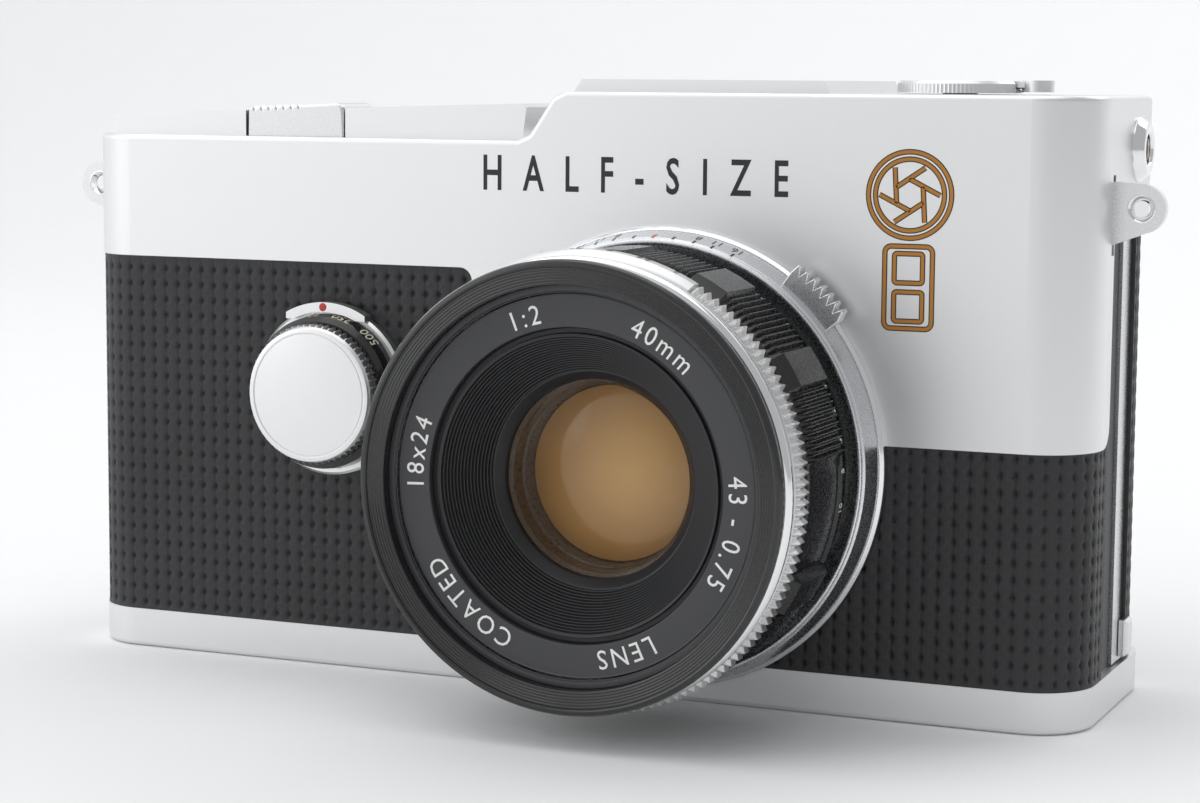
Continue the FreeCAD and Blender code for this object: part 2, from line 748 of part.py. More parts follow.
# ---------------------------------------------------------------- lens flange on the body

flange = turned("flange_ring", "y", lens_at, [
    (helicoid_bore, front + d.cover_wall), (flange_seat, front + d.cover_wall), (flange_seat, front),
    (flange_radius, front), (flange_radius, ahead(d.flange_front) + 0.5),
    (flange_radius - 0.5, ahead(d.flange_front)), (helicoid_bore, ahead(d.flange_front))])
flange_holes = [
    rod("flange_hole_%d" % number, "y", (across, axis + up),
        ahead(d.flange_front) - reach, front + 2.0, 0.7)
    for number, (across, up) in enumerate(flange_screw_places)]
keep("lens_flange", cut("flange", flange, *flange_holes))
keep("flange_screws", fuse("flange_screw_set", *[
    rod("flange_screw_%d" % number, "y", (across, axis + up),
        ahead(d.flange_front), depth(3.5), 0.65)
    for number, (across, up) in enumerate(flange_screw_places)]))

# ---------------------------------------------------------------- strap lugs and sync terminal


def strap_lug(name, side, outward):
    """A pierced plate that stands out of the body's end, parallel to the front."""
    wall = side - outward * d.cover_wall
    tip = side + outward * (d.lug_reach - 2.7)
    plate_y = (depth(d.lug_depth) - 0.6, depth(d.lug_depth) + 0.6)
    flank = prism(name + "_flank", "XZ", [
        (wall, d.lug_height - 4.4), (wall, d.lug_height + 3.0),
        (tip, d.lug_height + 2.7), (tip + outward * 1.4, d.lug_height - 2.3)], *plate_y)
    nose = rod(name + "_nose", "y", (tip, d.lug_height), *plate_y, 2.7)
    hole = rod(name + "_hole", "y", (tip, d.lug_height), plate_y[0] - reach, plate_y[1] + reach,
               d.lug_hole)
    return cut(name + "_plate", fuse(name + "_blank", flank, nose), hole)


for name, side, outward in (("strap_lug_right", right, 1.0), ("strap_lug_left", left, -1.0)):
    lug = strap_lug(name, side, outward)
    slot = block(
        name + "_slot", (side - 1.2, side + 1.2),
        (depth(d.lug_depth) - 0.6, depth(d.lug_depth) + 0.6),
        (d.lug_height - 5.2, d.lug_height + 3.6))
    cover.Tool.Shapes = cover.Tool.Shapes + [slot]
    keep(name, lug)

sync_at = (depth(d.sync_depth), d.sync_height)
keep("sync_ring", turned("sync_ring_body", "x", sync_at, [
    (1.2, right - 2.0), (1.95, right - 2.0), (1.95, right), (d.sync_radius, right),
    (d.sync_radius, right + 0.9), (d.sync_radius - 0.4, right + 1.3), (1.9, right + 1.3),
    (1.9, right + 0.9), (1.2, right + 0.9)]))
keep("sync_insulator", turned("sync_insulator_body", "x", sync_at, [
    (0.45, right - 2.0), (1.2, right - 2.0), (1.2, right + 0.5), (0.45, right + 0.5)]))
keep("sync_pin", turned("sync_pin_body", "x", sync_at, [
    (0.0, right - 2.4), (0.45, right - 2.4), (0.45, right + 0.8), (0.0, right + 0.8)]))

# ---------------------------------------------------------------- back door
# A shallow tray with rounded ends. It swings on a pin at the left end, and a sprung latch
# on its right rim holds it to the casting.

door_z = (d.base_height + d.door_gap, d.door_top)
door_skin = 0.6
door_round = d.door_corner - door_skin
door_outer = slab(
    "door_outer", 0.0, door_z, 0.0, door_round,
    x=(left + door_skin, right - door_skin), y=(depth(d.door_start), back - door_skin))
door_inner = slab(
    "door_inner", 0.0, (door_z[0] - reach, door_z[1] + reach), 0.0, door_round - d.door_wall,
    x=(left + door_skin + d.door_wall, right - door_skin - d.door_wall),
    y=(depth(d.door_start) - reach, back - door_skin - d.door_wall))
hinge_clear = block(
    "hinge_clear", (left - reach, left + 6.0), (depth(d.door_start) - reach, hinge_at[1] + 0.4),
    (door_z[0] - reach, door_z[1] + reach))
door_tray = cut("door_tray", door_outer, door_inner, hinge_clear)
knuckle_span = (door_z[1] - door_z[0]) / 5
knuckles = [
    fuse("knuckle_%d" % number,
         rod("knuckle_round_%d" % number, "z", hinge_at,
             door_z[0] + knuckle_span * index + 0.1, door_z[0] + knuckle_span * (index + 1) - 0.1,
             d.hinge_radius),
         block("knuckle_web_%d" % number, (left + 0.6, left + 1.6),
               (hinge_at[1], hinge_at[1] + 1.4),
               (door_z[0] + knuckle_span * index + 0.1,
                door_z[0] + knuckle_span * (index + 1) - 0.1)))
    for number, index in enumerate((0, 2, 4))]
fixed_clear = [
    rod("fixed_clear_%d" % index, "z", hinge_at,
        door_z[0] + knuckle_span * index - 0.1, door_z[0] + knuckle_span * (index + 1) + 0.1,
        d.hinge_radius + 0.25)
    for index in (1, 3)]
pin_bore = rod(
    "pin_bore", "z", hinge_at, door_z[0] - reach, door_z[1] + reach, 0.6 + d.running_gap)
door_blank = fuse("door_blank", cut("door_rim", door_tray, *fixed_clear), *knuckles)
keep("door_shell", cut("door", door_blank, pin_bore))

door_leather = slab(
    "door_leather_outer", 0.0, (door_z[0] + 0.2, door_z[1] - 0.2), 0.0, d.door_corner - 0.1,
    x=(left + 0.1, right - 0.1), y=(depth(d.door_leather_start), back))
door_leather_off = slab(
    "door_leather_inner", 0.0, (door_z[0] - reach, door_z[1] + reach), 0.0, door_round,
    x=(left + door_skin, right - door_skin), y=(depth(d.door_start) - reach, back - door_skin))
latch_clear = block(
    "latch_clear", (right - 1.5, right + reach), (depth(d.door_start), depth(24.6)),
    (door_z[0] - reach, door_z[0] + 8.4))
keep("door_leather", cut("door_leather_skin", door_leather, door_leather_off, latch_clear))

hinge_set = fuse(
    "hinge_set",
    rod("hinge_pin_rod", "z", hinge_at, door_z[0] - 0.2, door_z[1] + 0.2, 0.6),
    *[fuse("fixed_knuckle_%d" % number,
           rod("fixed_round_%d" % number, "z", hinge_at,
               door_z[0] + knuckle_span * index + 0.1,
               door_z[0] + knuckle_span * (index + 1) - 0.1, d.hinge_radius),
           block("fixed_web_%d" % number, (hinge_at[0], hinge_at[0] + 3.4),
                 (hinge_at[1] - d.hinge_radius, hinge_at[1] - 0.3),
                 (door_z[0] + knuckle_span * index + 0.1,
                  door_z[0] + knuckle_span * (index + 1) - 0.1)))
      for number, index in enumerate((1, 3))])
keep("hinge_pin", cut("hinge_pin_body", hinge_set, casting))

plate_y = (depth(d.film_plane) + 0.25, depth(d.film_plane) + 0.25 + d.plate_thick)
pressure_plate = fuse(
    "pressure_plate_body",
    block("plate_face", (Size.of(-17.0), Size.of(15.0)), plate_y, (axis - 16.0, axis + 16.0)),
    rod("plate_stud_top", "y", (Size.of(-1.0), axis + 9.0), plate_y[1] - 0.2, plate_y[1] + 0.5, 1.2),
    rod("plate_stud_low", "y", (Size.of(-1.0), axis - 9.0), plate_y[1] - 0.2, plate_y[1] + 0.5, 1.2))
keep("pressure_plate", pressure_plate)

latch_x = (right - 0.6 + 0.1, right + 0.5)
door_latch = block("latch_body", latch_x, (depth(20.4), depth(23.4)),
                   (door_z[0] + 0.5, door_z[0] + 4.7))
keep("door_latch", rounded("latch_soft", door_latch, [
    (0.5, lambda at, run: at.x > float(right) + 0.4)]))

# ---------------------------------------------------------------- shutter, mirror

disc_y = (depth(d.disc_depth), depth(d.disc_depth) + d.disc_thick)
half_blade = common(
    "half_blade",
    rod("disc_round", "y", disc_at, *disc_y, d.disc_radius),
    block("disc_half", (-d.disc_side - 2.6, -d.disc_side + d.disc_radius + reach), disc_y,
          (Size.of(0.0), d.low_deck)))
shutter = fuse(
    "shutter_blade", half_blade,
    rod("disc_hub", "y", disc_at, *disc_y, 3.0),
    rod("disc_axle", "y", disc_at, depth(d.disc_depth) - 4.8, disc_y[1], 1.5))
keep("shutter_disc", shutter)

pivot = FreeCAD.Vector(float(d.mirror_pivot_side), float(depth(d.mirror_pivot_depth)), 0)


def mirror_layer(name, along, across, up):
    """A layer of the mirror, laid out along -X from the pivot and turned to 45 degrees."""
    layer = Part.makeBox(
        float(along[1] - along[0]), float(across[1] - across[0]), float(up[1] - up[0]),
        FreeCAD.Vector(-float(along[1]), float(across[0]), float(up[0])))
    layer.rotate(FreeCAD.Vector(), FreeCAD.Vector(0, 0, 1), 45)
    layer.translate(pivot)
    held = doc.addObject("Part::Feature", name)
    held.Shape = layer
    return held


mirror_up = (axis - d.mirror_height / 2, axis + d.mirror_height / 2)
mirror_carrier = fuse(
    "mirror_carrier",
    mirror_layer("carrier_plate", (Size.of(0.0), d.mirror_width), (Size.of(0.0), Size.of(0.8)),
                 mirror_up),
    rod("mirror_post", "z", (d.mirror_pivot_side, depth(d.mirror_pivot_depth)),
        axis - box_inner_h + 0.1, axis + box_inner_h - 0.1, 0.7))
keep("mirror_carrier", mirror_carrier)
keep("reflex_mirror", mirror_layer(
    "mirror_silver", (Size.of(1.2), d.mirror_width - 0.4), (Size.of(-0.8), Size.of(0.0)),
    (mirror_up[0] + 0.4, mirror_up[1] - 0.4)))

# ---------------------------------------------------------------- film transport

spool_top = d.casting_top + 1.0
keep("take_up_spool", turned("spool_body", "z", take_up_at, [
    (0.0, d.base_wall + 1.4), (2.0, d.base_wall + 1.4), (2.0, d.chamber_floor + 0.3),
    (d.take_up_radius + 2.0, d.chamber_floor + 0.3), (d.take_up_radius + 2.0, d.chamber_floor + 1.5),
    (d.take_up_radius, d.chamber_floor + 1.5), (d.take_up_radius, d.chamber_top - 1.5),
    (d.take_up_radius + 2.0, d.chamber_top - 1.5), (d.take_up_radius + 2.0, d.chamber_top - 0.3),
    (2.0, d.chamber_top - 0.3), (2.0, spool_top), (0.0, spool_top)]))
sprocket_drum = turned("sprocket_body", "z", sprocket_at, [
    (0.0, d.base_wall + 0.4), (1.5, d.base_wall + 0.4), (1.5, axis - 15.6),
    (d.sprocket_radius, axis - 15.6), (d.sprocket_radius, axis - 11.6), (3.6, axis - 11.6),
    (3.6, axis + 11.6), (d.sprocket_radius, axis + 11.6), (d.sprocket_radius, axis + 15.6),
    (1.5, axis + 15.6), (1.5, d.casting_top), (0.0, d.casting_top)])
keep("film_sprocket", sprocket_drum)

lever_z = (lever_floor + 0.2, d.shoulder_low - 0.1)
lever_hub = rod("lever_hub", "z", take_up_at, *lever_z, 8.2)
lever_arm = prism("lever_arm", "XY", [
    (3.0 - d.take_up_side, depth(d.take_up_depth) + 3.0),
    (3.0 - d.take_up_side, depth(d.take_up_depth) + 7.4),
    (-d.take_up_side + 30.0, depth(d.take_up_depth) + 14.6),
    (-d.step_left - 4.0, depth(d.take_up_depth) + 15.4),
    (-d.step_left - 3.2, depth(d.take_up_depth) + 11.4),
    (-d.take_up_side + 28.0, depth(d.take_up_depth) + 9.0)], *lever_z)
lever_axle = rod("lever_axle", "z", take_up_at, d.casting_top + 1.3, lever_z[0] + 0.4, 3.0)
dial_well = rod("dial_well", "z", take_up_at, lever_z[1] - 0.8, lever_z[1] + reach, 6.4)
dial_shaft_bore = rod(
    "dial_shaft_bore", "z", take_up_at, d.casting_top, lever_z[1] + reach, 1.0 + d.running_gap)
keep("advance_lever", cut(
    "lever", fuse("lever_blank", lever_hub, lever_arm, lever_axle), dial_well, dial_shaft_bore))
keep("frame_counter", turned("counter_body", "z", take_up_at, [
    (0.0, d.casting_top + 1.3), (1.0, d.casting_top + 1.3), (1.0, lever_z[1] - 0.6),
    (6.1, lever_z[1] - 0.6), (6.1, lever_z[1] - 0.1), (0.0, lever_z[1] - 0.1)]))

# ---------------------------------------------------------------- shutter release

button_cap = prism("button_cap", "XZ", [
    (button_x[0], d.low_deck - 0.2), (button_x[0], d.button_top - 0.6),
    (button_x[1], d.button_top), (button_x[1], d.low_deck - 0.2)], *button_y)
button_soft = rounded("button_soft", button_cap, [
    (0.5, lambda at, run: at.z > float(d.button_top) - 0.7 and abs(run.z) < 1.0)])
button_stem = rod(
    "button_stem", "z", (-(d.button_left + d.button_right) / 2, depth(6.0)),
    d.casting_top - 1.8, d.low_deck + 0.5, 2.0)
keep("shutter_release", fuse("button", button_soft, button_stem))

# ---------------------------------------------------------------- rewind

drum_z = (d.high_deck + 0.15, d.high_deck + 1.5)
crank_y = depth(d.rewind_depth)
arm_z = (drum_z[1] - 0.7, drum_z[1] - 0.1)
pin_z = (arm_z[0] + arm_z[1]) / 2
pin_x = d.rewind_side - 4.4
keep("rewind_sleeve", turned("sleeve_body", "z", rewind_at, [
    (2.2, d.chamber_top + 0.4), (3.6, d.chamber_top + 0.4), (3.6, d.high_deck),
    (2.2, d.high_deck)]))
drum = turned("drum_body", "z", rewind_at, [
    (0.0, drum_z[0]), (d.rewind_radius, drum_z[0]), (d.rewind_radius, drum_z[1] - 0.3),
    (d.rewind_radius - 0.3, drum_z[1]), (0.0, drum_z[1])])
arm_slot = block(
    "arm_slot",
    (d.rewind_side - d.rewind_radius - reach, d.rewind_side + d.rewind_radius + reach),
    (crank_y - 1.6, crank_y + 1.6), (arm_z[0] - 0.15, drum_z[1] + reach))
eye_bore = rod(
    "eye_pin_bore", "y", (pin_x, pin_z), crank_y - 2.5, crank_y + 2.5, 0.45 + d.running_gap)
keep("rewind_knob", cut("drum", drum, arm_slot, eye_bore))
rewind_shaft = fuse(
    "rewind_shaft_body",
    rod("shaft_rod", "z", rewind_at, d.chamber_top - 4.0, drum_z[0], 2.0),
    block("shaft_fork", (d.rewind_side - 2.6, d.rewind_side + 2.6),
          (crank_y - 0.7, crank_y + 0.7), (d.chamber_top - 8.0, d.chamber_top - 3.0)))
keep("rewind_shaft", rewind_shaft)
crank_tip = d.rewind_side + d.crank_reach - 1.0
crank = fuse(
    "crank_arm",
    block("arm_bar", (pin_x, crank_tip), (crank_y - 1.3, crank_y + 1.3), arm_z),
    rod("arm_eye", "y", (pin_x, pin_z), crank_y - 2.4, crank_y + 2.4, 0.45),
    rod("arm_knob", "z", (crank_tip - 0.6, crank_y), d.high_deck + 0.3, arm_z[1] + 0.2,
        d.crank_knob))
keep("rewind_crank", crank)

# ---------------------------------------------------------------- speed dial

dial_at = (-d.dial_side, d.dial_height)
dial_ring = turned("dial_ring", "y", dial_at, [
    (2.6, depth(0.6)), (5.9, depth(0.6)), (5.9, front + skin_inset),
    (d.dial_base_radius, front + skin_inset), (d.dial_base_radius, ahead(1.0)),
    (d.dial_base_radius - 0.3, ahead(1.3)), (2.6, ahead(1.3))])
index_zone = block(
    "index_zone", (-d.dial_side - 5.2, -d.dial_side + 5.4), (ahead(2.2), ahead(0.6)),
    (d.dial_height + 8.6, d.dial_height + 11.4))
index_round = rod("index_round", "y", dial_at, ahead(2.2), ahead(0.6), d.dial_base_radius + 0.6)
index_tab = cut(
    "index_tab", common("index_sector", index_round, index_zone),
    rod("index_inner", "y", dial_at, ahead(3.0), front, d.dial_base_radius - 0.55))
keep("dial_base", fuse("dial_base_body", dial_ring, index_tab))
keep("dial_numbers", turned("dial_numbers_body", "y", dial_at, [
    (1.5, ahead(1.5)), (9.3, ahead(1.5)), (9.1, ahead(3.4)), (8.5, ahead(3.9)), (1.5, ahead(3.9))]))
keep("dial_cap", turned("dial_cap_body", "y", dial_at, [
    (0.0, depth(5.0)), (1.5, depth(5.0)), (1.5, ahead(3.9)), (d.dial_radius, ahead(3.9)),
    (d.dial_radius, ahead(d.dial_front) + 0.4), (d.dial_radius - 0.4, ahead(d.dial_front)),
    (0.0, ahead(d.dial_front))]))

# ---------------------------------------------------------------- small buttons

keep("lens_release", turned("unlock_body", "y", unlock_at, [
    (0.0, depth(4.0)), (2.2, depth(4.0)), (2.2, ahead(1.7)), (1.9, ahead(2.0)), (0.0, ahead(2.0))]))
keep("rewind_release", turned("rewind_button_body", "z", rewind_button_at, [
    (0.0, 0.4), (2.2, 0.4), (2.2, 3.6), (0.0, 3.6)]))

# ---------------------------------------------------------------- lens, fixed part

lever_low = ahead(3.4)
lever_high = ahead(1.7)
scale_ring = turned("scale_ring_body", "y", lens_at, [
    (helicoid_bore, ahead(d.flange_front)), (flange_radius - 0.5, ahead(d.flange_front)),
    (flange_radius - 0.6, ahead(2.0)), (d.scale_radius, ahead(d.scale_front)),
    (d.scale_radius - 0.6, ahead(d.scale_front)), (helicoid_bore, ahead(d.scale_front))])
lever_groove = cut(
    "lever_groove",
    rod("groove_outer", "y", lens_at, ahead(3.5), ahead(1.6), lever_track + 1.0),
    rod("groove_inner", "y", lens_at, ahead(4.0), front, lever_track - 1.0))


def sector(name, low_angle, high_angle, inner, outer, y):
    """A slice of a ring about the lens axis, between two angles from +X."""
    far = float(outer) * 1.6
    turns = [math.radians(low_angle + (high_angle - low_angle) * part / 4) for part in range(5)]
    fan = [(Size.of(0.0), axis)] + [
        (Size.of(far * math.cos(turn)), axis + far * math.sin(turn)) for turn in turns]
    ring = cut(
        name + "_ring", rod(name + "_outer", "y", lens_at, y[0], y[1], outer),
        rod(name + "_inner", "y", lens_at, y[0] - reach, y[1] + reach, inner))
    return common(name + "_slice", ring, prism(name + "_fan", "XZ", fan, y[0] - 0.5, y[1] + 0.5))


lever_slot = sector(
    "lever_slot", 16, 55.5, lever_track - 0.3, flange_radius + 1.1, (ahead(3.5), ahead(1.6)))
keep("scale_ring", cut("scale_ring_cut", scale_ring, lever_groove, lever_slot))
lever_ring = cut(
    "lever_ring", rod("lever_ring_outer", "y", lens_at, lever_low, lever_high, lever_track + 0.7),
    rod("lever_ring_inner", "y", lens_at, ahead(4.0), front, lever_track - 0.7))
lever_tab = sector("lever_tab", 38, 54, lever_track + 0.2, lever_tip, (lever_low, lever_high))
keep("preview_lever", fuse("preview_lever_body", lever_ring, lever_tab))

keep("lens_barrel", turned("barrel_body", "y", lens_at, [
    (d.barrel_bore, ahead(0.2)), (helicoid_bore, ahead(0.2)), (helicoid_bore, ahead(d.scale_front)),
    (barrel_collar, ahead(d.scale_front)), (barrel_collar, ahead(6.6)), (d.barrel_radius, ahead(6.6)),
    (d.barrel_radius, ahead(19.2)), (d.barrel_bore, ahead(19.2))]))

# ---------------------------------------------------------------- lens, moving rings

focus_bore = d.barrel_radius + d.ring_gap
keep("focus_ring", turned("focus_body", "y", lens_at, [
    (focus_bore, ahead(d.focus_rear)), (focus_radius - 0.6, ahead(d.focus_rear)),
    (focus_radius, ahead(d.focus_rear) - 0.8), (focus_radius, ahead(d.focus_front) + 3.4),
    (focus_lip, ahead(d.focus_front) + 1.4), (focus_lip, ahead(d.focus_front)),
    (focus_bore, ahead(d.focus_front))]))

head_tube = turned("head_tube", "y", lens_at, [
    (d.head_bore, ahead(8.6)), (d.head_radius, ahead(8.6)), (d.head_radius, ahead(20.2)),
    (22.8, ahead(20.2)), (22.8, ahead(d.aperture_rear) + 0.15), (20.4, ahead(d.aperture_rear) + 0.15),
    (20.4, ahead(d.bead_rear)), (d.head_bore, ahead(d.bead_rear))])
front_cell = turned("front_cell", "y", lens_at, [
    (12.4, ahead(13.8)), (d.head_bore + 0.5, ahead(13.8)), (d.head_bore + 0.5, ahead(d.glass_edge)),
    (12.4, ahead(d.glass_edge))])
rear_cell = turned("rear_cell", "y", lens_at, [
    (8.2, ahead(1.6)), (10.4, ahead(1.6)), (10.4, ahead(8.6)), (d.head_bore + 0.5, ahead(8.6)),
    (d.head_bore + 0.5, ahead(9.6)), (8.2, ahead(9.6))])
keep("lens_head", fuse("lens_head_body", head_tube, front_cell, rear_cell))
keep("aperture_ring", turned("aperture_body", "y", lens_at, [
    (20.4 + d.ring_gap, ahead(d.aperture_rear)), (d.aperture_radius - 0.3, ahead(d.aperture_rear)),
    (d.aperture_radius, ahead(d.aperture_rear) - 0.3),
    (d.aperture_radius, ahead(d.aperture_front) + 0.4),
    (d.aperture_radius - 0.4, ahead(d.aperture_front)),
    (20.4 + d.ring_gap, ahead(d.aperture_front))]))
keep("chrome_bead", turned("bead_body", "y", lens_at, [
    (20.0, ahead(d.bead_rear)), (d.bead_radius - 0.3, ahead(d.bead_rear)),
    (d.bead_radius, ahead(d.bead_rear) - 0.4), (d.bead_radius, ahead(d.bead_rear) - 0.8),
    (d.bead_radius - 0.7, ahead(d.rim_rear)), (20.0, ahead(d.rim_rear))]))
keep("filter_ring", turned("rim_body", "y", lens_at, [
    (20.0, ahead(d.rim_rear)), (d.rim_radius - 1.2, ahead(d.rim_rear)),
    (d.rim_radius, ahead(d.rim_rear) - 1.2), (d.rim_radius, ahead(d.rim_front) + 0.5),
    (d.rim_radius - 0.6, ahead(d.rim_front)), (d.rim_bore, ahead(d.rim_front)),
    (d.rim_bore, ahead(d.rim_floor) - 0.6), (20.0, ahead(d.rim_floor) - 0.6)]))
keep("name_ring", turned("name_body", "y", lens_at, [
    (d.name_bore, ahead(d.bead_rear)), (20.0, ahead(d.bead_rear)),
    (20.0, ahead(d.rim_floor) + 0.2), (d.name_bore, ahead(d.rim_floor) + 0.2)]))
keep("lens_baffle", turned("baffle_body", "y", lens_at, [
    (d.glass_radius, ahead(d.glass_edge)), (d.head_bore, ahead(d.glass_edge)),
    (d.head_bore, ahead(d.bead_rear) - 0.6), (16.0, ahead(d.bead_rear) - 0.6)]))
keep("front_glass", turned("front_glass_body", "y", lens_at, [
    (0.0, ahead(14.0)), (12.4, ahead(14.0)), (12.4, ahead(d.glass_edge)),
    (d.glass_radius, ahead(d.glass_edge)), (8.0, ahead(d.glass_edge) - 0.9),
    (4.0, ahead(d.glass_edge) - 1.6), (0.0, ahead(d.glass_edge) - 1.8)]))
keep("rear_glass", turned("rear_glass_body", "y", lens_at, [
    (0.0, ahead(1.4)), (5.0, ahead(1.5)), (8.2, ahead(2.2)), (8.2, ahead(8.6)), (0.0, ahead(8.6))]))

# ---------------------------------------------------------------- iris
# Five crescent blades, each on its own level and pivot; the aperture ring swings them in.

BLADES = 5
blade_inner = 9.9
blade_outer = 15.4
pivot_radius = 14.2
for number in range(BLADES):
    start = 360.0 * number / BLADES
    level = d.blade_start + number * d.blade_pitch
    y = (ahead(level) - d.blade_thick, ahead(level))
    crescent = sector(
        "blade_%d" % number, start, start + 104, blade_inner, blade_outer, y)
    angle = math.radians(start)
    eye_at = (Size.of(pivot_radius * math.cos(angle)), axis + pivot_radius * math.sin(angle))
    eye = rod("blade_eye_%d" % number, "y", eye_at, y[0], y[1], 1.2)
    keep("iris_blade_%d" % (number + 1), fuse("blade_body_%d" % number, crescent, eye))

# ---------------------------------------------------------------- checks and export

doc.recompute()
failed = [thing.Name for thing in doc.Objects if {"Invalid", "Error"} & set(thing.State)]
if failed:
    raise RuntimeError("failed features: " + ", ".join(failed))
for node in nodes:
    if node.Shape.isNull() or not node.Shape.isValid() or node.Shape.Volume < 0.01:
        raise RuntimeError("bad shape: " + node.Label)
os.makedirs("parts", exist_ok=True)
for node in nodes:
    node.Shape.exportStep("parts/%s.step" % node.Label)
    print("%-22s %d solid(s) %9.1f mm3" % (node.Label, len(node.Shape.Solids), node.Shape.Volume))
print(len(nodes), "nodes")
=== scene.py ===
import math

import bmesh
import bpy
import numpy as np
from mathutils import Euler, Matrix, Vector


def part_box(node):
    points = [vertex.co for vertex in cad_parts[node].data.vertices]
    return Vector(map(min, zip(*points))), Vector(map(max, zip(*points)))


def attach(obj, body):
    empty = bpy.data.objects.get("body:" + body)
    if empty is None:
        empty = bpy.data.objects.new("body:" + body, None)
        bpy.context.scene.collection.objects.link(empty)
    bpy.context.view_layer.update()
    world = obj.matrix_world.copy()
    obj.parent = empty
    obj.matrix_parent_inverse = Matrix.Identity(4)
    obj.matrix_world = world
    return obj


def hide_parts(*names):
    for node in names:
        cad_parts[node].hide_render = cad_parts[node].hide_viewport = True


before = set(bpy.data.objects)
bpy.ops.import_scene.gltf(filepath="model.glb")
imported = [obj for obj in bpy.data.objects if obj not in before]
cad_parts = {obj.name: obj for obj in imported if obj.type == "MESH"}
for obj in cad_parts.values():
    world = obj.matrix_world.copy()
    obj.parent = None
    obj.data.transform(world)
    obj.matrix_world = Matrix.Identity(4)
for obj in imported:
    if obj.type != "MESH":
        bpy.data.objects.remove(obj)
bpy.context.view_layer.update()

# ---------------------------------------------------------------- the table and the light
# White paper that curves up behind the camera, with large soft lamps round it.
# Sizes in this script are millimetres; a mesh is made in metres.

MM = 0.001


def grid_faces(rows, columns, round_rows=False, round_columns=False):
    """The quads of a grid of points: each joins a point, its neighbour in the next row and
    both their neighbours in the next column; round_ joins the last to the first."""
    row = np.arange(rows if round_rows else rows - 1)[:, None]
    column = np.arange(columns if round_columns else columns - 1)[None, :]
    next_row, next_column = (row + 1) % rows, (column + 1) % columns
    corners = [row * columns + column, next_row * columns + column,
               next_row * columns + next_column, row * columns + next_column]
    return np.stack(corners, -1).reshape(-1, 4)


def make_piece(name, points, faces, finish, body=None, slot=None, stands_for=(),
               sharp=35, weld=False, outward=True):
    """A mesh object from points in millimetres and quads. Edges that turn more than `sharp`
    degrees stay crisp; weld merges points that coincide, as at a pole."""
    mesh = bpy.data.meshes.new(name)
    faces = np.asarray(faces, np.int32)
    points = np.asarray(points, np.float32) * MM
    mesh.vertices.add(len(points))
    mesh.vertices.foreach_set("co", points.ravel())
    mesh.loops.add(faces.size)
    mesh.loops.foreach_set("vertex_index", faces.ravel())
    mesh.polygons.add(len(faces))
    mesh.polygons.foreach_set("loop_start", np.arange(len(faces), dtype=np.int32) * faces.shape[1])
    mesh.update(calc_edges=True)
    return finish_piece(name, mesh, finish, body, stands_for, sharp, weld, outward)


def finish_piece(name, mesh, finish, body, stands_for=(), sharp=35, weld=False,
                 outward=True):
    """Cleans a mesh, gives it its finish and hangs it on the body that it moves with."""
    shell = bmesh.new()
    shell.from_mesh(mesh)
    if weld:
        bmesh.ops.remove_doubles(shell, verts=shell.verts, dist=1e-7)
        bmesh.ops.dissolve_degenerate(shell, edges=shell.edges, dist=1e-8)
    if outward:
        bmesh.ops.recalc_face_normals(shell, faces=shell.faces)
    shell.to_mesh(mesh)
    shell.free()
    mesh.shade_smooth()
    mesh.set_sharp_from_angle(angle=math.radians(sharp))
    mesh.materials.clear()
    mesh.materials.append(finish)
    piece = bpy.data.objects.new(name, mesh)
    bpy.context.scene.collection.objects.link(piece)
    if body:
        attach(piece, body)
        if stands_for:
            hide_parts(*stands_for)
    return piece


def add(tree, kind, inputs, **options):
    """One shader node. inputs gives each socket a number, a colour or the socket to link."""
    made = tree.nodes.new("ShaderNode" + kind)
    for option, value in options.items():
        setattr(made, option, value)
    for socket, value in inputs.items():
        if isinstance(value, bpy.types.NodeSocket):
            tree.links.new(value, made.inputs[socket])
        else:
            made.inputs[socket].default_value = value
    return made


